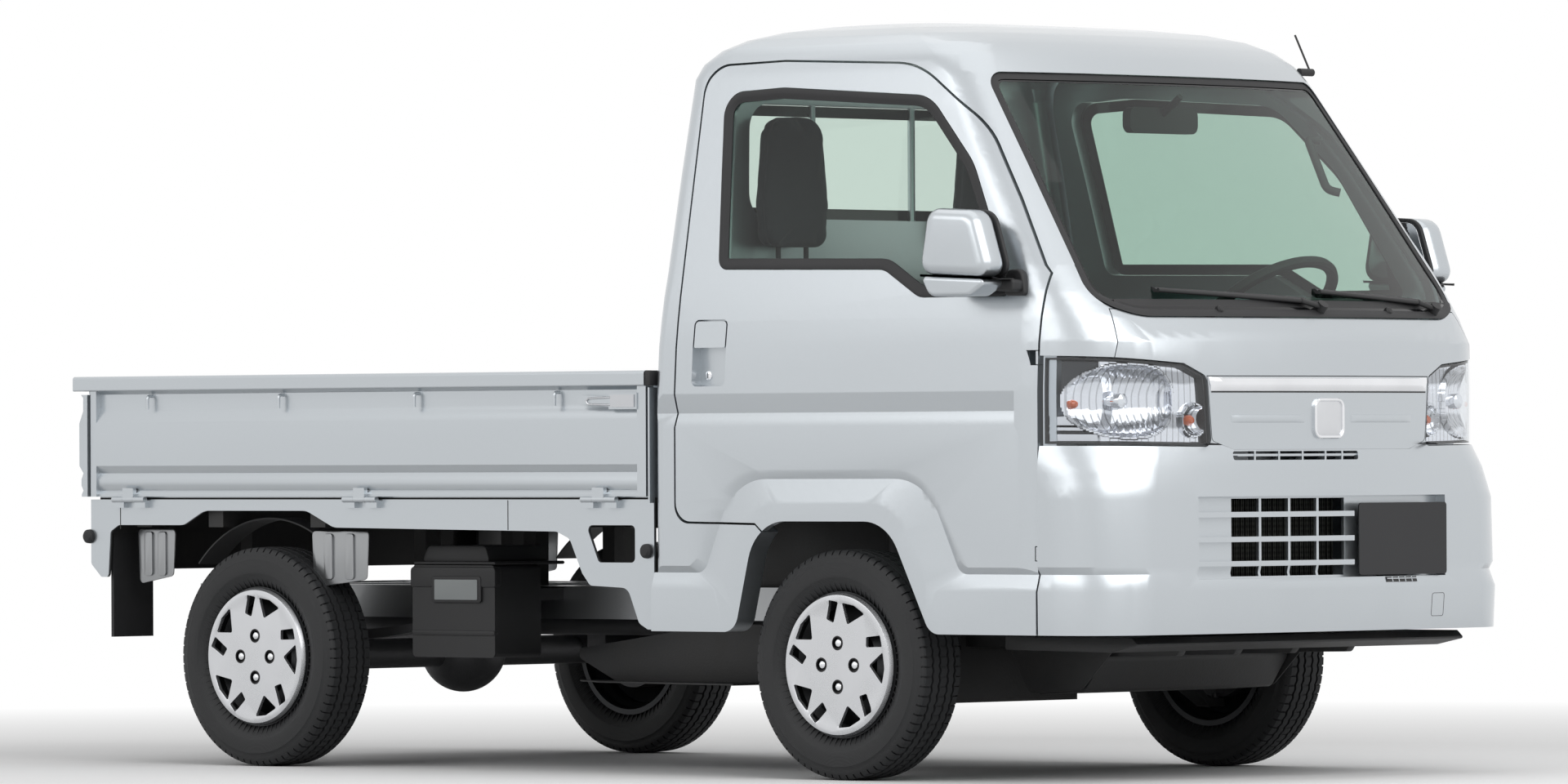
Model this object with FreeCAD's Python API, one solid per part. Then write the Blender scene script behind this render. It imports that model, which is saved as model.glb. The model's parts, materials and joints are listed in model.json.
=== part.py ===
import FreeCAD, Part
import math
import os

# Kei truck: a small cab-over pickup with a drop-side bed.
# Millimetres. While modelling, X is measured forward from the front axle, Y to the vehicle's left and
# Z up from the ground. The finished solids are shifted so that X is zero under the middle of the truck.

# Overall size and stance
OVERALL_LENGTH = 3395.0
OVERALL_WIDTH = 1475.0
FRONT_OVERHANG = 870.5
WHEELBASE = 1900.0
TRACK = 1290.0

# Gap between pieces that sit on one another
SEAT_GAP = 0.3

# Tyre and wheel
TYRE_RADIUS = 264.0
TYRE_WIDTH = 145.0
RIM_RADIUS = 160.0
RIM_WIDTH = 112.0
RIM_WALL = 5.0
RIM_FLANGE = 5.0
RIM_FLANGE_HEIGHT = 8.0
RIM_WELL_DEPTH = 16.0
RIM_WELL_Y = (-8.0, 18.0)
HUB_FACE_Y = 28.0
TYRE_SIDES = 72
TYRE_BEAD_IN = 26.5
TYRE_WALL_RISE = 46.0
TYRE_WALL_FALL = 24.0
TYRE_WALL_IN = 5.0
TYRE_SHOULDER = 20.0
CAP_RADIUS = 165.0
CAP_FACE_OUT = 74.0
BOLT_CIRCLE_RADIUS = 50.0
WHEEL_NUT_COUNT = 4
NUT_RADIUS = 11.0
NUT_LENGTH = 30.0
CAP_FOLD = 5

# Places along the truck
MID_X = FRONT_OVERHANG - OVERALL_LENGTH / 2
TAIL_X = FRONT_OVERHANG - OVERALL_LENGTH
REAR_AXLE_X = -WHEELBASE
HUB_Z = TYRE_RADIUS
HALF_WIDTH = OVERALL_WIDTH / 2
HALF_TRACK = TRACK / 2

# Cab
CAB_BOTTOM_Z = 337.0
CAB_REAR_X = -565.0
ROOF_TOP_Z = 1743.0
DOOR_FRONT_X = 623.0
DOOR_REAR_X = -485.0
DOOR_GAP = 5.0
DOOR_SKIN = 20.0
DOOR_DEPTH = 80.0
DOOR_FRAME_DEPTH = 40.0
DOOR_INNER_STEP = 15.0
FRAME_START_Z = 1110.0
PANEL = 12.0
PANEL_GAP = 2.0
ROOF_WALL = 30.0
REAR_WALL = 40.0
CAB_FLOOR_Z = 640.0
CAB_FLOOR_THICK = 30.0
FOOTWELL_REAR_X = 345.0
FIREWALL_X = 690.0
FIREWALL_THICK = 12.0
BELT_Z = 1100.0
PILLAR_SEAM_Z = 1168.0
GLASS = 5.0
GLASS_INSET = 6.0

# Door hinges, on one upright axis a side
DOOR_HINGE_X = 578.0
DOOR_HINGE_Y = HALF_WIDTH - 19.5
DOOR_HINGE_Z = (520.0, 960.0)
DOOR_HINGE_PIN = 5.0
DOOR_HINGE_KNUCKLE = 10.0
DOOR_HINGE_HEIGHT = 30.0
DOOR_HINGE_REACH = 68.0
HINGE_PILLAR_DEPTH = 30.0

# Door side: belt groove and wheel arch flare
GROOVE_TOP_Z = 888.0
GROOVE_VALLEY_Z = 841.0
GROOVE_BOTTOM_Z = 806.0
GROOVE_DEPTH = 12.0
GROOVE_FRONT_X = 560.0
SILL_TOP_Z = 490.0
SILL_VALLEY_Z = 473.0
SILL_LIP_Z = 434.0
FLARE_DEPTH = 12.0

# Bed
BED_FRONT_X = -575.0
GATE_FRONT_X = -586.0
GATE_REAR_X = TAIL_X + 63.5
RAIL_REAR_X = TAIL_X + 13.5
GATE_TOP_Z = 942.0
GATE_BOTTOM_Z = 649.0
GATE_THICK = 32.5
RAIL_BOTTOM_Z = 906.0
TAIL_RAIL_Z = 898.0
RAIL_GAP = 6.0
SKIRT_TOP_Z = 642.0
SKIRT_OUT = 716.0
SKIRT_THICK = 8.0
BED_FLOOR_Z = 660.0
BED_FLOOR_THICK = 12.0
GATE_SIDE_GAP = 6.0
HINGE_Y = 730.0
HINGE_Z = 642.0
HINGE_RADIUS = 7.0
HINGE_BARREL = 37.0
GATE_HINGE_X = (-738.0, -1526.0, TAIL_X + 203.5)
HOOK_X = (-880.0, -1342.0, -1800.0, TAIL_X + 270.5)

# Frame
FRAME_RAIL_Y = 330.0
FRAME_RAIL_WIDTH = 60.0
FRAME_TOP_Z = 433.0
FRAME_BOTTOM_Z = 355.0
FRAME_FRONT_X = 790.0
FRAME_REAR_X = TAIL_X + 70
FOOT_FLOOR_THICK = 8.0
FOOTWELL_Z = FRAME_TOP_Z + SEAT_GAP + FOOT_FLOOR_THICK
BED_MEMBER_Z = 575.0

SPRING_Y = 420.0

# Seats
SEAT_Y = 345.0
SEAT_WIDTH = 450.0
SEAT_BACK_X = CAB_REAR_X + REAR_WALL + SEAT_GAP
SEAT_DEPTH = 640.0
SEAT_TOP_Z = 790.0
SEAT_BACK_TOP_Z = 1188.0
HEADREST_WIDTH = 236.0
HEADREST_DEPTH = 84.0
HEADREST_TOP_Z = 1545.0
HEADREST_POST = 48.0

# Steering
KINGPIN_Y = 612.0
STEERING_WHEEL_RADIUS = 182.0
STEERING_GRIP = 14.0
STEERING_WHEEL_Y = 330.0
STEERING_WHEEL_X = 395.0
STEERING_WHEEL_Z = 1075.0
STEERING_COLUMN_TILT = 38.0
STEERING_COLUMN_RADIUS = 24.0


def vec(x, y, z):
    return FreeCAD.Vector(x, y, z)


def block(x0, x1, y0, y1, z0, z1):
    """A box between two corners."""
    return Part.makeBox(x1 - x0, y1 - y0, z1 - z0, vec(x0, y0, z0))


def fuse(shapes):
    """All shapes joined into one."""
    shapes = list(shapes)
    if len(shapes) == 1:
        return shapes[0]
    return shapes[0].fuse(shapes[1:]).removeSplitter()


def both_sides(shape):
    """The left-hand shape together with its mirror image."""
    return Part.makeCompound([shape, mirrored(shape)])


def mirrored(shape):
    """The right-hand twin of a left-hand shape."""
    return shape.mirror(vec(0, 0, 0), vec(0, 1, 0))


def on_plane(plane, u, v, offset):
    """The space point of a sketch point on a named plane."""
    if plane == "xz":
        return vec(u, offset, v)
    if plane == "yz":
        return vec(offset, u, v)
    return vec(u, v, offset)


def outline(points, plane, offset):
    """A closed wire through (u, v) points; a third value rounds that corner with an arc."""
    count = len(points)
    legs = []
    for i in range(count):
        u, v = points[i][:2]
        radius = points[i][2] if len(points[i]) > 2 else 0.0
        if radius == 0:
            legs.append(((u, v), None, (u, v)))
            continue
        before = points[i - 1]
        after = points[(i + 1) % count]
        in_u, in_v = before[0] - u, before[1] - v
        out_u, out_v = after[0] - u, after[1] - v
        in_len = math.hypot(in_u, in_v)
        out_len = math.hypot(out_u, out_v)
        in_u, in_v = in_u / in_len, in_v / in_len
        out_u, out_v = out_u / out_len, out_v / out_len
        half = math.acos(max(-1.0, min(1.0, in_u * out_u + in_v * out_v))) / 2
        cut = radius / math.tan(half)
        mid_u, mid_v = in_u + out_u, in_v + out_v
        mid_len = math.hypot(mid_u, mid_v)
        reach = radius / math.sin(half) - radius
        start = (u + in_u * cut, v + in_v * cut)
        middle = (u + mid_u / mid_len * reach, v + mid_v / mid_len * reach)
        end = (u + out_u * cut, v + out_v * cut)
        legs.append((start, middle, end))
    edges = []
    for i in range(count):
        start, middle, end = legs[i]
        if middle is not None:
            arc = Part.Arc(on_plane(plane, *start, offset), on_plane(plane, *middle, offset),
                           on_plane(plane, *end, offset))
            edges.append(arc.toShape())
        following = legs[(i + 1) % count][0]
        if math.dist(end, following) > 1e-6:
            edges.append(Part.makeLine(on_plane(plane, *end, offset), on_plane(plane, *following, offset)))
    return Part.Wire(edges)


def prism(points, plane, start, end):
    """An outline extruded from one offset to another along its plane's normal."""
    face = Part.Face(outline(points, plane, start))
    along = {"xz": vec(0, 1, 0), "yz": vec(1, 0, 0), "xy": vec(0, 0, 1)}[plane]
    return face.extrude(along * (end - start))


def frustum(low_points, low, high_points, high, plane):
    """A ruled solid between two outlines of the same family."""
    return Part.makeLoft([outline(low_points, plane, low), outline(high_points, plane, high)], True, True)


def rod(start, end, radius):
    """A round bar between two points."""
    along = end - start
    return Part.makeCylinder(radius, along.Length, start, along)


def pipe(points, radius, bend):
    """A round bar along straight runs joined by bends of one radius."""
    edges = []
    here = points[0]
    for i in range(1, len(points) - 1):
        corner = points[i]
        back = (points[i - 1] - corner).normalize()
        ahead = (points[i + 1] - corner).normalize()
        half = back.getAngle(ahead) / 2
        cut = bend / math.tan(half)
        middle = (back + ahead).normalize() * (bend / math.sin(half) - bend)
        edges.append(Part.makeLine(here, corner + back * cut))
        edges.append(Part.Arc(corner + back * cut, corner + middle, corner + ahead * cut).toShape())
        here = corner + ahead * cut
    edges.append(Part.makeLine(here, points[-1]))
    path = Part.Wire(edges)
    profile = Part.Wire(Part.makeCircle(radius, points[0], points[1] - points[0]))
    return path.makePipeShell([profile], True, False)


# Cab form, as level sections

# Level, half width, front at the centre line, front arc, front corner arc, rear, rear corner arc
BODY_LEVELS = [
    (CAB_BOTTOM_Z, HALF_WIDTH - 1.5, 861.0, 2900.0, 255.0, CAB_REAR_X, 40.0),
    (SILL_VALLEY_Z, HALF_WIDTH, 861.0, 2900.0, 260.0, CAB_REAR_X, 40.0),
    (GROOVE_TOP_Z, HALF_WIDTH, 863.0, 2900.0, 260.0, CAB_REAR_X, 40.0),
    (994.0, HALF_WIDTH - 6.5, 859.0, 2800.0, 240.0, CAB_REAR_X, 40.0),
    (1053.0, HALF_WIDTH - 13.5, 823.0, 2500.0, 190.0, CAB_REAR_X, 42.0),
]
GLASS_LEVELS = [
    (1053.0, HALF_WIDTH - 13.5, 823.0, 2500.0, 190.0, CAB_REAR_X, 42.0),
    (1110.0, HALF_WIDTH - 22.0, 781.0, 2350.0, 145.0, CAB_REAR_X, 45.0),
    (PILLAR_SEAM_Z, HALF_WIDTH - 33.0, 738.0, 2300.0, 115.0, CAB_REAR_X, 50.0),
    (1400.0, HALF_WIDTH - 77.5, 566.0, 2300.0, 105.0, CAB_REAR_X, 55.0),
    (1618.0, HALF_WIDTH - 120.0, 405.0, 2300.0, 100.0, CAB_REAR_X + 3, 60.0),
]
ROOF_LEVELS = [
    (1618.0, HALF_WIDTH - 120.0, 405.0, 2300.0, 100.0, CAB_REAR_X + 3, 60.0),
    (1652.0, HALF_WIDTH - 131.0, 376.0, 2300.0, 110.0, CAB_REAR_X + 14, 70.0),
    (1684.0, HALF_WIDTH - 154.0, 334.0, 2300.0, 130.0, CAB_REAR_X + 38, 90.0),
    (1708.0, HALF_WIDTH - 189.0, 280.0, 2300.0, 150.0, CAB_REAR_X + 74, 110.0),
    (1725.0, HALF_WIDTH - 239.0, 205.0, 2300.0, 170.0, CAB_REAR_X + 125, 130.0),
    (1737.0, HALF_WIDTH - 312.0, 95.0, 2300.0, 180.0, CAB_REAR_X + 200, 140.0),
    (ROOF_TOP_Z, HALF_WIDTH - 397.0, -20.0, 2300.0, 110.0, CAB_REAR_X + 270, 90.0),
]


CAB_FORMS = {}


def level_wire(level, inset=0.0, drop=0.0):
    """One level section of the cab: straight sides and rear, arcs at the corners and across the front."""
    z, half, front, front_arc, corner, rear, rear_corner = level
    z = z - drop
    half = half - inset
    front = front - inset
    front_arc = front_arc - inset
    corner = max(corner - inset, 8.0)
    rear = rear + inset
    rear_corner = max(rear_corner - inset, 8.0)
    middle_x = front - front_arc
    corner_y = half - corner
    corner_x = middle_x + math.sqrt((front_arc - corner) ** 2 - corner_y ** 2)
    turn = math.atan2(corner_y, corner_x - middle_x)
    joint = (middle_x + front_arc * math.cos(turn), front_arc * math.sin(turn))
    bulge_angle = (turn + math.pi / 2) / 2
    bulge = (corner_x + corner * math.cos(bulge_angle), corner_y + corner * math.sin(bulge_angle))
    side_front = (corner_x, half)
    side_rear = (rear + rear_corner, half)
    diagonal = rear_corner * (1 - math.sqrt(0.5))
    rear_bulge = (rear + diagonal, half - diagonal)
    rear_end = (rear, half - rear_corner)

    def at(point, side=1):
        return vec(point[0], side * point[1], z)

    edges = [
        Part.makeLine(at(rear_end, -1), at(rear_end)),
        Part.Arc(at(rear_end), at(rear_bulge), at(side_rear)).toShape(),
        Part.makeLine(at(side_rear), at(side_front)),
        Part.Arc(at(side_front), at(bulge), at(joint)).toShape(),
        Part.Arc(at(joint), vec(front, 0, z), at(joint, -1)).toShape(),
        Part.Arc(at(joint, -1), at(bulge, -1), at(side_front, -1)).toShape(),
        Part.makeLine(at(side_front, -1), at(side_rear, -1)),
        Part.Arc(at(side_rear, -1), at(rear_bulge, -1), at(rear_end, -1)).toShape(),
    ]
    return Part.Wire(edges)


def cab_form(inset=0.0, drop=None):
    """The whole cab as a solid, drawn in by an inset, with its roof lowered by a drop.

    An inner form reaches below the cab, so that a cut leaves the underside open.
    """
    if drop is None:
        drop = inset
    if (inset, drop) not in CAB_FORMS:
        CAB_FORMS[(inset, drop)] = loft_cab(inset, drop)
    return CAB_FORMS[(inset, drop)]


def loft_cab(inset, drop):
    """The lofts of one cab form, joined."""
    low_z = CAB_BOTTOM_Z - (20.0 if inset else 0.0)
    first = (low_z,) + BODY_LEVELS[0][1:]
    body = Part.makeLoft([level_wire(s, inset) for s in [first] + BODY_LEVELS[1:]], True, True)
    glass_levels = [level_wire(s, inset) for s in GLASS_LEVELS[:-1]]
    glass_levels.append(level_wire(GLASS_LEVELS[-1], inset, drop))
    glass = Part.makeLoft(glass_levels, True, True)
    roof = Part.makeLoft([level_wire(s, inset, drop) for s in ROOF_LEVELS], True, True)
    return fuse([body, glass, roof])


# Wheel arch and sill: one family of outlines around the front wheel

# Height over the wheel, sill height, half-width places of the rear foot, rear top, front top, front foot
ARCH_OPENING = (592.0, CAB_BOTTOM_Z, -300.0, -235.0, 172.0, 303.0, 115.0, 45.0)
ARCH_LIP = (631.0, SILL_LIP_Z, -345.0, -250.0, 192.0, 300.0, 125.0, 40.0)
ARCH_VALLEY = (689.0, SILL_VALLEY_Z, -405.0, -312.0, 282.0, 386.0, 150.0, 35.0)
ARCH_SHOULDER = (713.0, SILL_TOP_Z, -428.0, -335.0, 302.0, 404.0, 160.0, 30.0)
ARCH_END_X = 1200.0


def arch_points(sizes, bottom=200.0):
    """The closed outline of an arch over the wheel that runs out into the sill at both ends."""
    top, sill, rear_foot, rear_top, front_top, front_foot, top_round, foot_round = sizes
    return [
        (-ARCH_END_X, bottom), (-ARCH_END_X, sill), (rear_foot, sill, foot_round),
        (rear_top, top, top_round), (front_top, top, top_round), (front_foot, sill, foot_round),
        (ARCH_END_X, sill), (ARCH_END_X, bottom),
    ]


def flare_cut_and_band():
    """The V groove around the arch and sill of the left side: what it takes away and what it adds."""
    face_y = HALF_WIDTH
    valley_y = HALF_WIDTH - FLARE_DEPTH
    cut = frustum(arch_points(ARCH_VALLEY), valley_y, arch_points(ARCH_SHOULDER), face_y + 1, "xz")
    band = frustum(arch_points(ARCH_VALLEY), valley_y, arch_points(ARCH_LIP), face_y, "xz")
    return cut, band


def shaped_side(form):
    """The cab form with its belt groove, arch flare and arch opening on both sides."""
    face_y = HALF_WIDTH + 1
    groove = prism([(face_y, GROOVE_TOP_Z), (HALF_WIDTH - GROOVE_DEPTH, GROOVE_VALLEY_Z),
                    (face_y, GROOVE_BOTTOM_Z)], "yz", CAB_REAR_X - 60, GROOVE_FRONT_X)
    cut, band = flare_cut_and_band()
    limit = block(CAB_REAR_X - 60, DOOR_FRONT_X + 5, HALF_WIDTH - 60, HALF_WIDTH + 5, 200, 760)
    cut = cut.common(limit)
    limit_band = block(CAB_REAR_X, DOOR_FRONT_X + 5, HALF_WIDTH - 60, HALF_WIDTH, CAB_BOTTOM_Z, 760)
    band = band.common(limit_band)
    for tool, added in ((groove, None), (cut, band)):
        form = form.cut([tool, mirrored(tool)])
        if added is not None:
            form = form.fuse([added, mirrored(added)])
    return form


# Door outline, on the side view

def door_points(grow=0.0):
    """The door's outline; a positive grow widens it all round."""
    g = grow
    return [
        (DOOR_REAR_X - g, 592 - g, 45), (-236, 588 - g), (-196 - g * 0.3, 556 - g),
        (-190, 330), (DOOR_FRONT_X + g, 330 - 10), (DOOR_FRONT_X + g, 1150),
        (607 + g, PILLAR_SEAM_Z + g * 0.3), (509 + g * 0.9, 1317 + g * 0.6, 400),
        (388 + g * 0.8, 1489 + g * 0.8, 300), (166 + g * 0.5, 1634 + g, 250),
        (-255, 1651 + g), (DOOR_REAR_X - 8 - g, 1645 + g, 70), (DOOR_REAR_X - g, 1100),
    ]


def window_points(shrink=0.0):
    """The side window's outline, drawn in by a shrink."""
    s = shrink
    return [
        (-378 + s, 1172 + s, 30), (-430 + s, 1584 - s, max(55 - s, 20)), (-245, 1592 - s),
        (215 - s * 0.4, 1562 - s, 120), (374 - s, 1405 - s * 0.4, 200),
        (546 - s * 1.6, 1099 + s, 20), (257, 1099 + s, 60), (140, 1172 + s - 8, 60),
    ]


# Front view outlines

def windshield_points(grow=0.0):
    g = grow
    return [
        (-573 - g, 1614 + g, 45), (573 + g, 1614 + g, 45), (640 + g, 1085, 60),
        (540, 1052 - g, 200), (-540, 1052 - g, 200), (-640 - g, 1085, 60),
    ]


def lamp_points(grow=0.0):
    """The left headlamp's outline seen from the front."""
    g = grow
    return [
        (381 - g, 760 - g, 18), (395 - g, 917 + g * 0.5, 20), (458, 945 + g), (631, 958 + g),
        (800, 966 + g), (800, 765 - g),
    ]


def garnish_points(grow=0.0):
    g = grow
    return [
        (-312 - g, 752 - g, 12), (-377 - g, 772, 12), (-391 - g, 917 + g), (391 + g, 917 + g),
        (377 + g, 772, 12), (312 + g, 752 - g, 12),
    ]


def hood_points(grow=0.0):
    g = grow
    return [
        (-631 - g, 955 - g), (-608 - g, 1068 + g), (608 + g, 1068 + g), (631 + g, 955 - g),
        (631 + g, 740), (-631 - g, 740),
    ]


FRONT_START = 500.0
FRONT_END = 900.0
NOSE_REAR_X = DOOR_FRONT_X + DOOR_GAP


def nose_region():
    """Everything ahead of the doors and below the pillar seam."""
    return prism([(NOSE_REAR_X, 300), (NOSE_REAR_X, PILLAR_SEAM_Z), (900, PILLAR_SEAM_Z + 22), (900, 300)],
                 "xz", -800, 800)


def build_cab(parts):
    """Cab shell, doors and the nose's painted panels, split where the real panels meet."""
    outer = cab_form()
    door_inner = cab_form(DOOR_DEPTH)
    frame_inner = cab_form(DOOR_FRAME_DEPTH, ROOF_WALL)
    skin_back = cab_form(DOOR_SKIN)
    side = shaped_side(outer)
    arch = prism(arch_points(ARCH_OPENING), "xz", -800, 800)

    # Interior space: wide above the belt, narrower between the doors below it
    low_room = door_inner.common(block(CAB_REAR_X + REAR_WALL, FIREWALL_X, -800, 800, CAB_FLOOR_Z, 1040))
    cowl_room = door_inner.common(block(CAB_REAR_X + REAR_WALL, 900, -800, 800, 1040, FRAME_START_Z))
    high_room = frame_inner.common(block(CAB_REAR_X + REAR_WALL, 900, -800, 800, FRAME_START_Z, 1800))
    foot_half = HALF_WIDTH - DOOR_DEPTH
    footwell = block(FOOTWELL_REAR_X, FIREWALL_X, -foot_half, foot_half, FOOTWELL_Z, CAB_FLOOR_Z)
    seat_back_room = block(CAB_REAR_X + REAR_WALL, CAB_REAR_X + DOOR_DEPTH + 40, -foot_half + 20, foot_half - 20,
                           CAB_FLOOR_Z, FRAME_START_Z)
    rooms = [low_room, cowl_room, high_room, footwell, seat_back_room]

    # Behind the door line and above the pillar seam the shell has the outer form
    nose = nose_region()
    shell = side.cut([nose] + rooms)

    # Open underside behind the footwell, and the wheel housings
    under_half = HALF_WIDTH - 60
    underside = block(CAB_REAR_X + REAR_WALL, FOOTWELL_REAR_X - 30, -under_half, under_half, 300,
                      CAB_FLOOR_Z - CAB_FLOOR_THICK)
    under_foot = block(FOOTWELL_REAR_X - 30, 900, -foot_half, foot_half, 300, FOOTWELL_Z - FOOT_FLOOR_THICK)
    under_wall = block(CAB_REAR_X - 60, CAB_REAR_X + REAR_WALL + 1, -under_half + 160, under_half - 160, 300,
                       CAB_FLOOR_Z - CAB_FLOOR_THICK)
    door_hole = prism(door_points(DOOR_GAP), "xz", 300, 800)
    shell = shell.cut([underside, under_wall, under_foot, arch, door_hole, mirrored(door_hole)])

    # Firewall and cowl shelf ahead of the doors, inside the nose's skin
    skin_inner = cab_form(PANEL)
    core = cab_form(PANEL + SEAT_GAP).common(nose)
    firewall = block(NOSE_REAR_X, FIREWALL_X + FIREWALL_THICK, -foot_half + 40, foot_half - 40,
                     FOOTWELL_Z - FOOT_FLOOR_THICK, 1040)
    pillar = block(NOSE_REAR_X, NOSE_REAR_X + HINGE_PILLAR_DEPTH, foot_half - 60, HALF_WIDTH,
                   DOOR_HINGE_Z[0] - 40, 1040)
    shelf = block(NOSE_REAR_X, 900, -700, 700, 1022, 1040)
    nose_core = core.common(fuse([firewall, shelf, pillar, mirrored(pillar)])).cut([low_room, footwell])
    front_glass = prism(windshield_points(), "yz", 150, 900)
    rear_glass = rear_window_prism(0, CAB_REAR_X - 40, CAB_REAR_X + REAR_WALL + 60)
    shell = shell.fuse(nose_core).cut([front_glass, rear_glass])
    arms = fuse([hinge_arm(z) for z in DOOR_HINGE_Z])
    shell = shell.fuse([arms, mirrored(arms)])
    parts["cab_shell"] = fuse([shell, rear_bulge()])
    nose_cover = outer.cut(skin_inner)
    nose_skin = nose_cover.common(nose)

    # Doors: outer skin with a narrower inner box, hollowed windows
    door_skin = side.cut(skin_back).common(prism(door_points(), "xz", 300, 800)).cut(arch)
    inner_low = skin_back.cut(door_inner).common(
        prism(door_points(-DOOR_INNER_STEP), "xz", 300, 800)).common(block(-900, 900, 300, 800, 300, BELT_Z))
    inner_high = skin_back.cut(frame_inner).common(
        prism(door_points(-DOOR_INNER_STEP), "xz", 300, 800)).common(block(-900, 900, 300, 800, BELT_Z, 1800))
    arch_inner = prism(arch_points(grown_arch(DOOR_INNER_STEP)), "xz", -800, 800)
    inner = inner_low.fuse(inner_high).cut(arch_inner)
    window = prism(window_points(), "xz", 300, 800)
    door = fuse([door_skin, inner]).cut(window)
    handle_pocket = prism([(-435, 903, 14), (-435, 1057, 14), (-330, 1057, 14), (-330, 903, 14)],
                          "xz", HALF_WIDTH - 34, HALF_WIDTH + 5)
    door = door.cut(handle_pocket)
    flap = outer.common(prism([(-431, 992, 4), (-431, 1053, 10), (-334, 1053, 10), (-334, 992, 4)], "xz",
                              HALF_WIDTH - 34, HALF_WIDTH + 5))
    door = fuse([door, flap])
    for z in DOOR_HINGE_Z:
        low = z - DOOR_HINGE_HEIGHT / 2 - 2
        high = z + DOOR_HINGE_HEIGHT / 2 + 2
        pocket = block(DOOR_HINGE_X - DOOR_HINGE_KNUCKLE - 3, DOOR_FRONT_X + 5, HALF_WIDTH - DOOR_DEPTH - 15,
                       DOOR_HINGE_Y + DOOR_HINGE_KNUCKLE + 3, low, high)
        pin = Part.makeCylinder(DOOR_HINGE_PIN, high - low + 4, vec(DOOR_HINGE_X, DOOR_HINGE_Y, low - 2))
        door = door.cut(pocket).fuse(pin)
    parts["door_left"] = door
    parts["door_right"] = mirrored(door)

    # Door glass with its rubber, seated in the window opening
    glazing = cab_form(GLASS_INSET).cut(cab_form(GLASS_INSET + GLASS))
    pane = glazing.common(prism(window_points(PANEL_GAP / 4), "xz", 300, 800))
    parts["door_glass_left"] = pane
    parts["door_glass_right"] = mirrored(pane)

    # Windshield
    cowl_line = 1092.0
    pane = glazing.common(prism(windshield_points(-PANEL_GAP / 4), "yz", 150, 900))
    parts["windshield"] = pane.common(block(100, 900, -800, 800, cowl_line, 1700))
    parts["cowl_panel"] = nose_cover.common(prism(windshield_points(-1), "yz", 150, 900)).common(
        block(100, 900, -800, 800, 1000, cowl_line - SEAT_GAP))

    # Painted nose panels
    lamp = prism(lamp_points(PANEL_GAP), "yz", FRONT_START, FRONT_END)
    lamps = [lamp, mirrored(lamp)]
    hood_volume = prism(hood_points(), "yz", FRONT_START, FRONT_END)
    glass_gap = prism(windshield_points(PANEL_GAP / 2), "yz", 150, 900)
    garnish_gap = prism(garnish_points(PANEL_GAP), "yz", FRONT_START, FRONT_END)
    low_cut = block(FRONT_START, FRONT_END, -800, 800, 300, 766)
    hood = nose_skin.common(hood_volume).cut(lamps + [glass_gap, garnish_gap, low_cut])
    parts["hood_panel"] = hood
    corner_side = block(FRONT_START, FRONT_END, 300, 800, 960, 1300)
    corner = nose_skin.common(corner_side).cut([prism(hood_points(PANEL_GAP), "yz", FRONT_START, FRONT_END),
                                                glass_gap, lamp])
    parts["corner_panels"] = both_sides(corner)
    parts["nose_garnish"] = nose_cover.common(prism(garnish_points(), "yz", 780, FRONT_END))
    build_lamps(parts, outer)


def hinge_arm(z):
    """A door hinge's cranked arm on the left pillar, with its knuckle around the door's pin."""
    low = z - DOOR_HINGE_HEIGHT / 2
    high = z + DOOR_HINGE_HEIGHT / 2
    inner = DOOR_HINGE_Y - DOOR_HINGE_REACH
    leg = block(DOOR_HINGE_X - 6, DOOR_HINGE_X + 6, inner - 8, DOOR_HINGE_Y, low, high)
    foot = block(DOOR_HINGE_X - 6, NOSE_REAR_X + 8, inner - 8, inner, low, high)
    heel = block(NOSE_REAR_X + 0.5, NOSE_REAR_X + 8, inner - 8, HALF_WIDTH - DOOR_DEPTH + 10, low, high)
    knuckle = Part.makeCylinder(DOOR_HINGE_KNUCKLE, high - low, vec(DOOR_HINGE_X, DOOR_HINGE_Y, low))
    hole = Part.makeCylinder(DOOR_HINGE_PIN + SEAT_GAP, high - low + 2, vec(DOOR_HINGE_X, DOOR_HINGE_Y, low - 1))
    return fuse([leg, foot, heel, knuckle]).cut(hole)


def grown_arch(step):
    """The arch opening widened by a step, for the door's inner box."""
    top, sill, rear_foot, rear_top, front_top, front_foot, top_round, foot_round = ARCH_OPENING
    return (top + step, sill + step, rear_foot - step, rear_top - step, front_top + step, front_foot + step,
            top_round, foot_round)


REAR_WINDOW_BOTTOM_Z = 1298.0
REAR_WINDOW_TOP_Z = 1566.0
REAR_WINDOW_HALF = 440.0


def rear_window_prism(grow, start, end):
    """The rear window's rounded outline, extruded along X."""
    half = REAR_WINDOW_HALF + grow
    low = REAR_WINDOW_BOTTOM_Z - grow
    high = REAR_WINDOW_TOP_Z + grow
    return prism([(-half, low, 60), (half, low, 60), (half, high, 60), (-half, high, 60)], "yz", start, end)


def rear_bulge():
    """The pressed-out field of the rear wall, around the rear window."""
    base_x = CAB_REAR_X + 2
    outer_x = CAB_REAR_X - 16
    wide = [(-640, 965, 40), (640, 965, 40), (560, 1592, 60), (-560, 1592, 60)]
    narrow = [(-618, 985, 40), (618, 985, 40), (540, 1575, 60), (-540, 1575, 60)]
    field = frustum(narrow, outer_x, wide, base_x, "yz")
    return field.cut(rear_window_prism(0, CAB_REAR_X - 60, CAB_REAR_X + 60))


# Headlamps

LAMP_DEPTH = 70.0
LENS = 4.0
REFLECTOR_Y = 594.0
REFLECTOR_Z = 860.0
TURN_LAMP_Y = 418.0
TURN_LAMP_Z = 818.0
TURN_LAMP_RADIUS = 42.0


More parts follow.
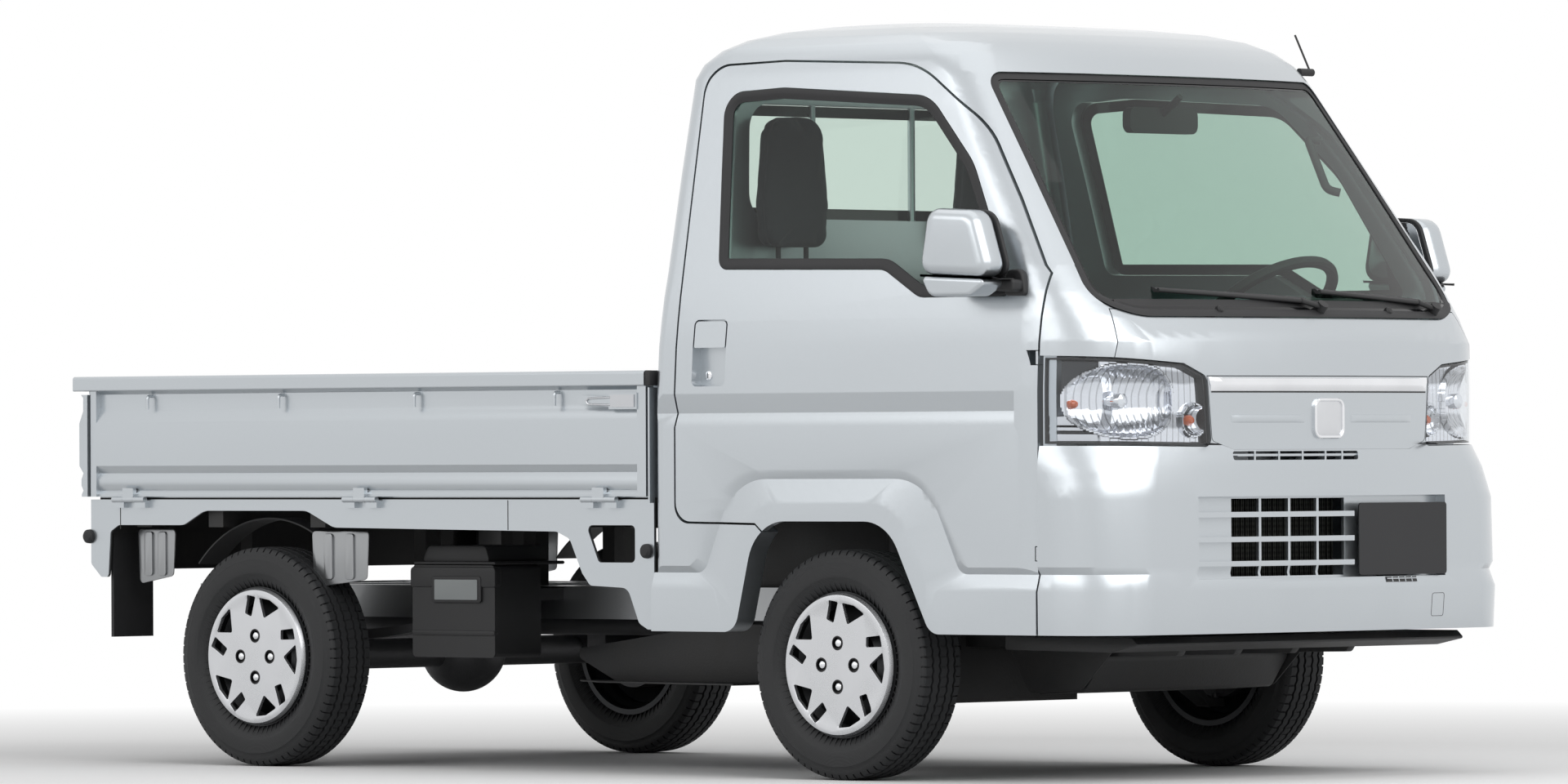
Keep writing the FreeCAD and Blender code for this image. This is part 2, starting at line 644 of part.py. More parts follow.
def build_lamps(parts, outer):
    """A clear lens on the nose's own curve, and behind it a housing with reflector bowls."""
    region = prism(lamp_points(), "yz", NOSE_REAR_X + 1, FRONT_END)
    lens = outer.cut(cab_form(LENS)).common(region)
    parts["headlamp_lenses"] = both_sides(lens)
    body = cab_form(LENS + SEAT_GAP).cut(cab_form(LAMP_DEPTH)).common(region)
    wall_front = FIREWALL_X + FIREWALL_THICK + SEAT_GAP
    pillar_front = NOSE_REAR_X + HINGE_PILLAR_DEPTH + SEAT_GAP
    body = body.cut([block(FRONT_START, wall_front, 0, HALF_WIDTH - DOOR_DEPTH - 35, 300, 1100),
                     block(FRONT_START, pillar_front, 0, HALF_WIDTH, 300, 1100)])
    bowl = Part.makeSphere(78, vec(838, REFLECTOR_Y - 60, REFLECTOR_Z))
    turn_bowl = Part.makeCone(18, TURN_LAMP_RADIUS, 50, vec(800, TURN_LAMP_Y, TURN_LAMP_Z), vec(1, 0, 0))
    parts["headlamp_housings"] = both_sides(body.cut([bowl, turn_bowl]))


# Front bumper and grille

BUMPER_TOP_Z = 762.0
BUMPER_WALL = 10.0
BUMPER_LEVELS = [
    (CAB_BOTTOM_Z, HALF_WIDTH - 1.5, 862.0, 6500.0, 165.0),
    (SILL_LIP_Z, HALF_WIDTH, FRONT_OVERHANG, 6500.0, 175.0),
    (SILL_VALLEY_Z, HALF_WIDTH - FLARE_DEPTH, 860.0, 6500.0, 172.0),
    (SILL_TOP_Z, HALF_WIDTH, 864.0, 6500.0, 175.0),
    (640.0, HALF_WIDTH, 864.0, 6000.0, 180.0),
    (710.0, HALF_WIDTH, 864.0, 4200.0, 215.0),
    (BUMPER_TOP_Z, HALF_WIDTH, 861.0, 3000.0, 255.0),
]
GRILLE_HALF = 446.0
GRILLE_BOTTOM_Z = 452.0
GRILLE_TOP_Z = 654.0
GRILLE_DEPTH = 28.0
GRILLE_RIM = 8.0
GRILLE_BARS = (605.0, 549.0, 494.0)
GRILLE_POSTS = (-306.0, -206.0, -106.0, -7.0, 92.0)
CELL_LEFT = 92.0
SLOT_BOTTOM_Z = 728.0
SLOT_TOP_Z = 748.0
PLATE_X = 856.0


def bumper_form(inset=0.0):
    """The bumper as a solid of level sections; an inner form runs past its lower and upper edges."""
    rear = NOSE_REAR_X - 60
    reach = 20.0 if inset else 0.0
    wires = []
    for i, (z, half, front, front_arc, corner) in enumerate(BUMPER_LEVELS):
        if i == 0:
            z -= reach
        if i == len(BUMPER_LEVELS) - 1:
            z += reach
        wires.append(level_wire((z, half, front, front_arc, corner, rear, 8.0), inset))
    return Part.makeLoft(wires, True, True)


def build_bumper(parts):
    """Bumper cover with its grille field, open cells, closed ribs, plate seat and lower step."""
    outer = bumper_form()
    inner = bumper_form(BUMPER_WALL)
    cover = outer.cut(inner).common(block(NOSE_REAR_X, 900, -800, 800, 300, 800))
    lower_return = inner.common(block(NOSE_REAR_X, 900, -HALF_WIDTH, HALF_WIDTH, CAB_BOTTOM_Z,
                                      CAB_BOTTOM_Z + 6)).cut(block(0, 800, -640, 640, 300, 400))
    cover = fuse([cover, lower_return])
    field = [(-GRILLE_HALF, GRILLE_BOTTOM_Z), (GRILLE_HALF, GRILLE_BOTTOM_Z),
             (GRILLE_HALF, GRILLE_TOP_Z), (-GRILLE_HALF, GRILLE_TOP_Z)]
    cover = cover.cut(prism(field, "yz", 800, 900))
    # Grille insert, set back from the cover
    tray = bumper_form(GRILLE_DEPTH).cut(bumper_form(GRILLE_DEPTH + 8))
    tray = tray.common(prism(field, "yz", 780, 900))
    rim = outer.cut(bumper_form(GRILLE_DEPTH + 8)).common(
        prism(field, "yz", 780, 900).cut(prism(
            [(-GRILLE_HALF + GRILLE_RIM, GRILLE_BOTTOM_Z + GRILLE_RIM),
             (GRILLE_HALF - GRILLE_RIM, GRILLE_BOTTOM_Z + GRILLE_RIM),
             (GRILLE_HALF - GRILLE_RIM, GRILLE_TOP_Z - GRILLE_RIM),
             (-GRILLE_HALF + GRILLE_RIM, GRILLE_TOP_Z - GRILLE_RIM)], "yz", 780, 900)))
    rim = rim.common(block(0, 862, -800, 800, 300, 800))
    cells = []
    levels = (GRILLE_BOTTOM_Z + 8,) + tuple(sorted(GRILLE_BARS)) + (GRILLE_TOP_Z - 8,)
    for low, high in zip(levels[:-1], levels[1:]):
        for right, left in zip(GRILLE_POSTS[:-1], GRILLE_POSTS[1:]):
            cells.append(block(780, 900, right + 4, left - 4, low + 5, high - 5))
    tray = tray.cut(cells)
    bars = []
    for bar_z in GRILLE_BARS:
        bar = bumper_form(8).cut(bumper_form(GRILLE_DEPTH + 4)).common(
            block(780, 900, -GRILLE_HALF + 2, CELL_LEFT + 10, bar_z - 6, bar_z + 6))
        bars.append(bar)
    slot = prism([(-317, SLOT_BOTTOM_Z, 6), (109, SLOT_BOTTOM_Z, 6), (109, SLOT_TOP_Z, 6),
                  (-317, SLOT_TOP_Z, 6)], "yz", 780, 900)
    cover = cover.cut(slot)
    slot_bar = bumper_form(4).cut(bumper_form(BUMPER_WALL)).common(block(780, 900, -320, 112, 738, 742))
    plate = prism([(114, 464, 8), (430, 464, 8), (430, 629, 8), (114, 629, 8)], "yz", PLATE_X, PLATE_X + 3)
    seat = block(820, PLATE_X - SEAT_GAP, 180, 365, 500, 600)
    stays = []
    for side in (1, -1):
        stay = block(FRAME_FRONT_X + SEAT_GAP, 900, side * FRAME_RAIL_Y - 25, side * FRAME_RAIL_Y + 25,
                     FRAME_BOTTOM_Z + 5, FRAME_TOP_Z - 5)
        stays.append(stay.common(bumper_form(4)))
    lamp = prism(lamp_points(PANEL_GAP), "yz", FRONT_START, FRONT_END)
    neighbours = [prism(garnish_points(SEAT_GAP), "yz", 780, FRONT_END), lamp, mirrored(lamp)]
    parts["plate_blank"] = plate
    parts["front_bumper"] = fuse([cover, tray, rim, slot_bar, seat] + bars + stays).cut(neighbours)


# Wheels

def turned(profile):
    """A closed profile of (radius, place along Y) points, turned about the Y axis."""
    wire = Part.makePolygon([vec(r, y, 0) for r, y in profile + profile[:1]])
    return Part.Face(wire).revolve(vec(0, 0, 0), vec(0, 1, 0), 360)


def ring_wire(radius, y):
    """A many-sided ring about the Y axis, its flats just outside a radius."""
    corners = []
    for i in range(TYRE_SIDES + 1):
        angle = 2 * math.pi * i / TYRE_SIDES
        corners.append(vec(radius * math.cos(angle), y, radius * math.sin(angle)))
    return Part.makePolygon(corners)


def ring_loft(half_profile):
    """A solid through rings, given as (radius, place along Y) from the middle outwards and mirrored."""
    levels = [(r, -y) for r, y in reversed(half_profile)] + half_profile
    return Part.makeLoft([ring_wire(r, y) for r, y in levels], True, True)


def tyre_solid():
    """A tyre about the Y axis at the origin: beads, side walls, shoulders and a plain tread band."""
    half = TYRE_WIDTH / 2
    bead = (RIM_RADIUS + SEAT_GAP) / math.cos(math.pi / TYRE_SIDES)
    wall = bead + TYRE_WALL_RISE
    slope = TYRE_WALL_RISE / TYRE_BEAD_IN
    outer = ring_loft([(TYRE_RADIUS, half - TYRE_SHOULDER),
                       (TYRE_RADIUS - TYRE_WALL_FALL, half - TYRE_WALL_IN), (wall, half)])
    inner = ring_loft([(bead, half - TYRE_BEAD_IN), (wall + slope, half + 1)])
    return outer.cut(inner)


def rim_solid():
    """A drop-centre steel rim with its disc, outer side towards +Y."""
    half = RIM_WIDTH / 2
    flange = RIM_RADIUS + RIM_FLANGE_HEIGHT
    inside = RIM_RADIUS - RIM_WALL
    well = RIM_RADIUS - RIM_WELL_DEPTH
    low, high = RIM_WELL_Y
    barrel = [
        (flange, -half), (flange, -half + RIM_FLANGE), (RIM_RADIUS, -half + RIM_FLANGE), (RIM_RADIUS, low - 24),
        (well, low), (well, high), (RIM_RADIUS, high + 14), (RIM_RADIUS, half - RIM_FLANGE),
        (flange, half - RIM_FLANGE), (flange, half), (inside, half),
        (inside, high + 16), (well - RIM_WALL, high), (well - RIM_WALL, low), (inside, low - 26),
        (inside, -half),
    ]
    face = HUB_FACE_Y
    edge = well - RIM_WALL / 2
    disc = [(30, face + 6), (78, face + 6), (100, face + 18), (edge, 12), (edge, 6), (98, face + 12),
            (80, face), (30, face)]
    return turned(barrel).fuse(turned(disc))


def cap_solid():
    """The wheel cap: a shallow dome with a raised rim and a pinwheel of openings, outer side at +Y."""
    back = CAP_FACE_OUT - 12
    dome = turned([
        (0, back), (0, CAP_FACE_OUT - 3), (CAP_RADIUS - 25, CAP_FACE_OUT - 3), (CAP_RADIUS - 15, CAP_FACE_OUT),
        (CAP_RADIUS - 5, CAP_FACE_OUT - 2), (CAP_RADIUS, back),
    ])
    openings = []
    for i in range(CAP_FOLD):
        turn = 360.0 / CAP_FOLD * i
        slot = prism([(-12, 96, 4), (-34, 104, 4), (-24, 148, 3), (2, 144, 3)], "xz", back - 5, CAP_FACE_OUT + 5)
        wedge = prism([(30, 92, 5), (14, 142, 3), (52, 136, 3), (84, 117, 3)], "xz", back - 5, CAP_FACE_OUT + 5)
        for shape in (slot, wedge):
            openings.append(shape.rotated(vec(0, 0, 0), vec(0, 1, 0), turn))
    dome = dome.cut(openings)
    wells = []
    for i in range(WHEEL_NUT_COUNT):
        angle = math.radians(90 * i)
        centre = vec(BOLT_CIRCLE_RADIUS * math.cos(angle), back, BOLT_CIRCLE_RADIUS * math.sin(angle))
        wells.append(Part.makeCylinder(15, 30, centre - vec(0, 2, 0), vec(0, 1, 0)))
    return dome.cut(wells)


def wheel_nuts():
    """Four nuts on studs that stand on the wheel's disc."""
    nuts = []
    for i in range(WHEEL_NUT_COUNT):
        angle = math.radians(90 * i)
        across = BOLT_CIRCLE_RADIUS * math.cos(angle)
        up = BOLT_CIRCLE_RADIUS * math.sin(angle)
        corners = []
        for k in range(6):
            turn = math.radians(60 * k)
            corners.append((across + NUT_RADIUS * math.cos(turn), up + NUT_RADIUS * math.sin(turn)))
        nut = prism(corners, "xz", HUB_FACE_Y + 5, HUB_FACE_Y + 5 + NUT_LENGTH)
        crown = Part.makeCone(NUT_RADIUS - 2, NUT_RADIUS / 2, 6, vec(across, HUB_FACE_Y + 5 + NUT_LENGTH, up),
                              vec(0, 1, 0))
        nuts.append(nut.fuse(crown))
    return nuts


def build_wheels(parts):
    tyre = tyre_solid()
    foot = RIM_WIDTH / 2 + SEAT_GAP
    spacer = turned([(CAP_RADIUS - 9, foot), (CAP_RADIUS - 5, foot), (CAP_RADIUS - 5, CAP_FACE_OUT - 11),
                     (CAP_RADIUS - 9, CAP_FACE_OUT - 11)])
    wheel = fuse([rim_solid()] + wheel_nuts())
    cap = cap_solid().fuse(spacer)
    for name, axle_x in (("front", 0.0), ("rear", REAR_AXLE_X)):
        hub = vec(axle_x, HALF_TRACK, HUB_Z)
        for node, shape in (("tyre", tyre), ("wheel", wheel), ("wheel_cap", cap)):
            placed = shape.translated(hub)
            parts[f"{node}_{name}_left"] = placed
            parts[f"{node}_{name}_right"] = mirrored(placed)


# Running gear

def build_running_gear(parts):
    rail_face = FRAME_RAIL_Y + FRAME_RAIL_WIDTH / 2 + SEAT_GAP
    rail_inner = FRAME_RAIL_Y - FRAME_RAIL_WIDTH / 2 - SEAT_GAP

    # Front knuckles: hub flange, drum, and an upright on the kingpin axis
    face = HALF_TRACK + HUB_FACE_Y
    low = HUB_Z - 90
    high = HUB_Z + 128
    flange = Part.makeCylinder(68, 12, vec(0, face - 12 - SEAT_GAP, HUB_Z), vec(0, 1, 0))
    drum = Part.makeCylinder(100, 33, vec(0, face - 51, HUB_Z), vec(0, 1, 0))
    stub = Part.makeCylinder(34, 70, vec(0, face - 82, HUB_Z), vec(0, 1, 0))
    upright = block(-20, 20, KINGPIN_Y - 20, KINGPIN_Y + 16, low, high)
    arm = block(-126, -10, KINGPIN_Y - 40, KINGPIN_Y - 18, HUB_Z - 50, HUB_Z - 34)
    knuckle = fuse([flange, drum, stub, upright, arm])
    parts["knuckle_left"] = knuckle
    parts["knuckle_right"] = mirrored(knuckle)

    # Front suspension: cross member under the rails, lower arms to the ball joints, struts with yokes
    member_top = FRAME_BOTTOM_Z - SEAT_GAP
    member_low = member_top - 62
    member = block(-90, 60, -FRAME_RAIL_Y - 30, FRAME_RAIL_Y + 30, member_low, member_top)
    member = member.cut(block(-80, 50, -FRAME_RAIL_Y + 30, FRAME_RAIL_Y - 30, member_low - 1, member_top - 10))
    arm_low = low - 32
    arm_high = low - 12
    pieces = [member]
    for side in (1, -1):
        pieces.append(frustum([(-60, member_low), (40, member_low), (40, member_low + 24),
                               (-60, member_low + 24)], side * 345,
                              [(-20, arm_low), (20, arm_low), (20, arm_high), (-20, arm_high)],
                              side * (KINGPIN_Y - 40), "xz"))
        joint_in, joint_out = sorted((side * (KINGPIN_Y - 42), side * (KINGPIN_Y + 12)))
        pieces.append(block(-20, 20, joint_in, joint_out, arm_low, arm_high))
        pin = vec(0, side * KINGPIN_Y, arm_high - 1)
        pieces.append(Part.makeCylinder(9, low - arm_high + 1 - SEAT_GAP, pin, vec(0, 0, 1)))
        strut_foot = vec(0, side * (KINGPIN_Y - 92), high + 2)
        strut_head = vec(-15, side * (KINGPIN_Y - 122), CAB_FLOOR_Z - CAB_FLOOR_THICK - 5)
        pieces.append(rod(strut_foot, strut_head, 24))
        yoke = [(-18, side * (KINGPIN_Y - 96)), (18, side * (KINGPIN_Y - 96)), (14, side * (KINGPIN_Y + 14)),
                (-14, side * (KINGPIN_Y + 14))]
        pieces.append(prism(yoke, "xy", high + SEAT_GAP, high + 14))
        brace_in, brace_out = sorted((side * rail_face, side * (KINGPIN_Y - 92)))
        pieces.append(block(-24, 20, brace_in, brace_out, high + SEAT_GAP, FRAME_TOP_Z - 2))
    parts["front_suspension"] = fuse(pieces)

    # Rear axle with drums, differential and leaf springs
    axle = Part.makeCylinder(36, 2 * (HALF_TRACK - 40), vec(REAR_AXLE_X, -(HALF_TRACK - 40), HUB_Z), vec(0, 1, 0))
    diff = Part.makeSphere(105, vec(REAR_AXLE_X, 0, HUB_Z + 6))
    pieces = [axle, diff]
    for side in (1, -1):
        inner = side * (HALF_TRACK - 42)
        pieces.append(Part.makeCylinder(100, 62, vec(REAR_AXLE_X, inner, HUB_Z), vec(0, side, 0)))
        pieces.append(Part.makeCylinder(68, face - SEAT_GAP - abs(inner), vec(REAR_AXLE_X, inner, HUB_Z),
                                        vec(0, side, 0)))
        pieces.append(leaf_spring(side, rail_face))
    parts["rear_axle"] = fuse(pieces)

    # Engine behind the front axle, under the cab floor: one plain block
    engine = block(-520, 60, -250, 230, FRAME_BOTTOM_Z - 190, 600).cut(
        block(-100, 70, -400, 400, 100, FRAME_BOTTOM_Z + 5))
    engine_mount = block(-330, -270, -rail_inner, rail_inner, FRAME_BOTTOM_Z + 25, FRAME_BOTTOM_Z + 55)
    parts["engine_block"] = fuse([engine, engine_mount])

    parts["radiator"] = radiator()
    tank = prism([(-1330, 300, 30), (-760, 300, 30), (-760, 500, 30), (-1330, 500, 30)], "xz", rail_face, 630)
    parts["fuel_tank"] = tank
    battery = prism([(-1468, 266, 12), (-1194, 266, 12), (-1194, 485, 12), (-1468, 485, 12)], "xz", -612, -455)
    bracket = block(-1380, -1210, -456, -rail_face, FRAME_BOTTOM_Z + 45, FRAME_TOP_Z - 5)
    parts["battery_box"] = fuse([battery, bracket])
    can = Part.makeCylinder(62, 420, vec(-2420, 180, 292), vec(1, 0, 0))
    inlet = rod(vec(-2001, 180, 325), vec(-700, 180, 330), 22)
    outlet = rod(vec(-2419, 210, 285), vec(-2500, 210, 285), 20)
    hangers = []
    for x in (FRAME_REAR_X + 36, -2140):
        hangers.append(block(x, x + 12, 170, 190, 340, FRAME_BOTTOM_Z + 8 - SEAT_GAP))
    parts["muffler"] = fuse([can, inlet, outlet] + hangers)


def leaf_spring(side, rail_face):
    """A leaf pack on top of the axle, with eyes at both ends and their pins reaching to the rail."""
    spring_y = side * SPRING_Y
    half = 480.0
    sag = 70.0
    width = 50.0
    height = HUB_Z + 36
    low = Part.Arc(vec(REAR_AXLE_X - half, 0, height + sag), vec(REAR_AXLE_X, 0, height),
                   vec(REAR_AXLE_X + half, 0, height + sag)).toShape()
    high = Part.Arc(vec(REAR_AXLE_X - half, 0, height + sag + 14), vec(REAR_AXLE_X, 0, height + 24),
                    vec(REAR_AXLE_X + half, 0, height + sag + 14)).toShape()
    edges = [low, Part.makeLine(low.Vertexes[1].Point, high.Vertexes[1].Point), high,
             Part.makeLine(high.Vertexes[0].Point, low.Vertexes[0].Point)]
    face = Part.Face(Part.Wire(Part.__sortEdges__(edges)))
    pack = face.extrude(vec(0, width, 0)).translated(vec(0, spring_y - width / 2, 0))
    eyes = []
    for end in (-1, 1):
        eye = vec(REAR_AXLE_X + end * half, side * rail_face, height + sag + 7)
        eyes.append(Part.makeCylinder(10, SPRING_Y - rail_face, eye, vec(0, side, 0)))
        eye = vec(REAR_AXLE_X + end * half, spring_y - width / 2, height + sag + 7)
        eyes.append(Part.makeCylinder(18, width, eye, vec(0, 1, 0)))
    seat = block(REAR_AXLE_X - 50, REAR_AXLE_X + 50, spring_y - 32, spring_y + 32, HUB_Z, height + 4)
    return fuse([pack, seat] + eyes)


def radiator():
    """The radiator behind the grille, with upright fins."""
    core = block(FRAME_FRONT_X - 34, FRAME_FRONT_X - 6, -330, 110, FRAME_TOP_Z + SEAT_GAP, 668)
    fins = [block(FRAME_FRONT_X - 7, FRAME_FRONT_X, -326 + 8 * i, -324 + 8 * i, 452, 656) for i in range(54)]
    return core.fuse(fins)


def build_frame(parts):
    """Two rails with cross members."""
    rails = []
    front = FRAME_FRONT_X
    rear = FRAME_REAR_X
    for side in (1, -1):
        y0 = side * FRAME_RAIL_Y - FRAME_RAIL_WIDTH / 2
        rail = block(rear, front, y0, y0 + FRAME_RAIL_WIDTH, FRAME_BOTTOM_Z, FRAME_TOP_Z)
        rails.append(rail)
    crossings = []
    inner = FRAME_RAIL_Y - FRAME_RAIL_WIDTH / 2 + 1
    for x in (front - 50, -600, -1300, -1700, -2150, rear):
        crossings.append(block(x, x + 50, -inner, inner, FRAME_BOTTOM_Z + 8, FRAME_TOP_Z))
    return fuse(rails + crossings)


# Bed

def gate_profile_points():
    """The side gate's section seen along the truck, outer side at +Y."""
    inner = HALF_WIDTH - GATE_THICK
    top = RAIL_BOTTOM_Z - SEAT_GAP
    return [
        (inner, GATE_BOTTOM_Z), (inner, top), (724, top), (716, 898), (716, 858), (731, 828), (731, 724),
        (719, 706), (726, 691), (726, 676), (719, 664), (725, 655), (725, GATE_BOTTOM_Z),
    ]


def rail_points(inner, outer, bottom=None):
    """The top rail's section, a box pressing that sits on a gate's panel."""
    low = RAIL_BOTTOM_Z if bottom is None else bottom
    return [(inner, low), (inner, GATE_TOP_Z, 6), (outer, GATE_TOP_Z, 8), (outer, low, 4)]


def build_gates(parts):
    inner = HALF_WIDTH - GATE_THICK
    profile = gate_profile_points()
    panel = prism(profile, "yz", GATE_REAR_X + GATE_SIDE_GAP, GATE_FRONT_X)
    end_plate = block(GATE_FRONT_X - 28, GATE_FRONT_X, inner, 731, GATE_BOTTOM_Z, RAIL_BOTTOM_Z - SEAT_GAP)
    rear_plate = block(GATE_REAR_X + GATE_SIDE_GAP, GATE_REAR_X + 26, inner, 731, GATE_BOTTOM_Z,
                       RAIL_BOTTOM_Z - SEAT_GAP)
    rail = prism(rail_points(inner, HALF_WIDTH), "yz", RAIL_REAR_X, GATE_FRONT_X)
    pieces = [panel, end_plate, rear_plate]
    for x in GATE_HINGE_X:
        start = x - HINGE_BARREL / 2
        pieces.append(Part.makeCylinder(HINGE_RADIUS, HINGE_BARREL, vec(start, HINGE_Y, HINGE_Z), vec(1, 0, 0)))
        pieces.append(block(start, start + HINGE_BARREL, 723, HINGE_Y + 5, HINGE_Z, 670))
    for x in HOOK_X:
        hook = pipe([vec(x, 715, 893), vec(x, 731, 893), vec(x, 731, 861)], 4, 8)
        pieces.append(hook)
    # Front latch: lever and buckle
    pieces.append(prism([(-806, 866, 5), (-700, 858, 5), (-690, 880, 5), (-800, 886, 5)], "xz", 715, 733))
    pieces.append(block(-702, -612, 715, 734, 852, 890))
    gate = Part.makeCompound([fuse(pieces), rail])
    parts["side_gate_left"] = gate
    parts["side_gate_right"] = mirrored(gate)


def tailgate_profile_points():
    """The tailgate's section seen from the side, outer side to the rear."""
    face = GATE_REAR_X
    top = TAIL_RAIL_Z - SEAT_GAP
    return [
        (face, GATE_BOTTOM_Z), (face, top), (face - 22, top), (face - 14, 890), (face - 14, 858),
        (face - 28, 828), (face - 28, 724), (face - 14, 706), (face - 21, 691), (face - 21, 676),
        (face - 14, 664), (face - 20, 655), (face - 20, GATE_BOTTOM_Z),
    ]


def build_tailgate(parts):
    rail_side = HALF_WIDTH - GATE_THICK - RAIL_GAP
    panel = prism(tailgate_profile_points(), "xz", -HALF_WIDTH + 1, HALF_WIDTH - 1)
    section = rail_points(GATE_REAR_X, GATE_REAR_X - GATE_THICK, TAIL_RAIL_Z)
    rail = prism(section, "xz", -rail_side, rail_side)
    pieces = [panel]
    latch = block(TAIL_X, GATE_REAR_X - 12, 600, 690, 850, 882)
    pieces += [latch, mirrored(latch)]
    axis_x = GATE_REAR_X - 30
    for y in (-560, 0, 560):
        start = y - HINGE_BARREL / 2
        pieces.append(Part.makeCylinder(HINGE_RADIUS, HINGE_BARREL, vec(axis_x, start, HINGE_Z), vec(0, 1, 0)))
        pieces.append(block(axis_x - 5, GATE_REAR_X - 17, start, start + HINGE_BARREL, HINGE_Z, 670))
    parts["tailgate"] = Part.makeCompound([fuse(pieces), rail])


def skirt_points():
    """The left side skirt below the bed floor, with the rear wheel arch cut in its lower edge."""
    arch = REAR_AXLE_X
    rear = TAIL_X
    return [
        (BED_FRONT_X, SKIRT_TOP_Z), (BED_FRONT_X, 340, 10), (-596, 340), (-624, 354, 20), (-660, 436, 30),
        (-781, 441, 15), (-807, 470, 20), (-847, 550, 25), (-890, 567, 30), (arch + 270, 575, 60),
        (arch + 178, 615, 60), (arch - 173, 615, 60), (arch - 245, 580, 60), (rear + 152, 580, 20),
        (rear + 123, 564, 10), (rear + 115, 453, 10), (rear + 90, 453, 10), (rear + 54.5, 485, 12),
        (rear + 54.5, SKIRT_TOP_Z),
    ]


SKIRT_HOLE = [(-793, 582, 12), (-636, 582, 12), (-636, 495, 12), (-753, 495, 12)]


def build_bed(parts):
    floor_half = HALF_WIDTH - GATE_THICK - GATE_SIDE_GAP
    floor_rear = GATE_REAR_X + GATE_SIDE_GAP
    floor = block(floor_rear, BED_FRONT_X, -floor_half, floor_half, BED_FLOOR_Z - BED_FLOOR_THICK, BED_FLOOR_Z)
    ribs = []
    for i in range(9):
        y = -560 + 140 * i
        ribs.append(prism([(y - 35, BED_FLOOR_Z - 1), (y - 27, BED_FLOOR_Z + 5), (y + 27, BED_FLOOR_Z + 5),
                           (y + 35, BED_FLOOR_Z - 1)], "yz", floor_rear + 60, BED_FRONT_X - 90))
    members = []
    for x in (-640, -1000, -1330, -1700, -2050, -2300):
        members.append(block(x - 25, x + 25, -floor_half, floor_half, BED_MEMBER_Z,
                             BED_FLOOR_Z - BED_FLOOR_THICK + 1))
        for side in (1, -1):
            members.append(block(x - 20, x + 20, side * FRAME_RAIL_Y - 22, side * FRAME_RAIL_Y + 22,
                                 FRAME_TOP_Z + SEAT_GAP, BED_MEMBER_Z + 1))
    skirt = prism(skirt_points(), "xz", SKIRT_OUT - SKIRT_THICK, SKIRT_OUT)
    skirt = skirt.cut(prism(SKIRT_HOLE, "xz", 600, 800))
    flange = block(TAIL_X + 62, BED_FRONT_X, floor_half - 4, SKIRT_OUT, SKIRT_TOP_Z - 8, SKIRT_TOP_Z)
    edge = block(floor_rear, BED_FRONT_X, floor_half - 6, floor_half, SKIRT_TOP_Z - 8, BED_FLOOR_Z)
    side = fuse([skirt, flange, edge])
    for x in GATE_HINGE_X:
        for end in (-1, 1):
            start = x + end * (HINGE_BARREL + SEAT_GAP) - HINGE_BARREL / 2
            knuckle = Part.makeCylinder(HINGE_RADIUS, HINGE_BARREL, vec(start, HINGE_Y, HINGE_Z), vec(1, 0, 0))
            lug = block(start, start + HINGE_BARREL, SKIRT_OUT - 2, HINGE_Y, HINGE_Z - 20, HINGE_Z - 2)
            side = side.fuse([knuckle, lug])
    wall_front = BED_FRONT_X
    wall = prism([(-floor_half + 4, BED_FLOOR_Z - 1), (floor_half - 4, BED_FLOOR_Z - 1),
                  (floor_half - 4, GATE_TOP_Z - 4), (-floor_half + 4, GATE_TOP_Z - 4)], "yz",
                 wall_front - 22, wall_front - 4)
    top_tube = block(wall_front - 34, wall_front, -floor_half + 4, floor_half - 4, GATE_TOP_Z - 34, GATE_TOP_Z)
    post = block(GATE_FRONT_X + 6, wall_front, floor_half - 8, SKIRT_OUT + 14, SKIRT_TOP_Z - 8, GATE_TOP_Z - 40)
    rear_x = TAIL_X + 60
    sill = block(rear_x, rear_x + 60, -SKIRT_OUT + 10, SKIRT_OUT - 10, 560, SKIRT_TOP_Z - 8)
    lamp_panel = block(rear_x, rear_x + 6, -SKIRT_OUT + 10, SKIRT_OUT - 10, 470, 562)
    barrel_x = GATE_REAR_X - 30
    rear_lugs = []
    for y in (-560, 0, 560):
        for end in (-1, 1):
            start = y + end * (HINGE_BARREL + SEAT_GAP) - HINGE_BARREL / 2
            rear_lugs.append(Part.makeCylinder(HINGE_RADIUS, HINGE_BARREL, vec(barrel_x, start, HINGE_Z),
                                               vec(0, 1, 0)))
            rear_lugs.append(block(barrel_x, rear_x + 2, start, start + HINGE_BARREL, HINGE_Z - 24, HINGE_Z - 2))
    pieces = [floor, wall, top_tube, sill, lamp_panel, side, mirrored(side), post, mirrored(post)]
    parts["bed_body"] = fuse(pieces + ribs + members + rear_lugs)
    flap = block(TAIL_X + 111, TAIL_X + 120, HALF_TRACK - 75, HALF_TRACK + 58, 307, 559.7)
    parts["mud_flaps"] = both_sides(flap)
    lamp = prism([(430, 485, 8), (690, 485, 8), (690, 550, 8), (430, 550, 8)], "yz", rear_x - 24, rear_x - 0.3)
    parts["tail_lamps"] = both_sides(lamp)


# Cab fittings

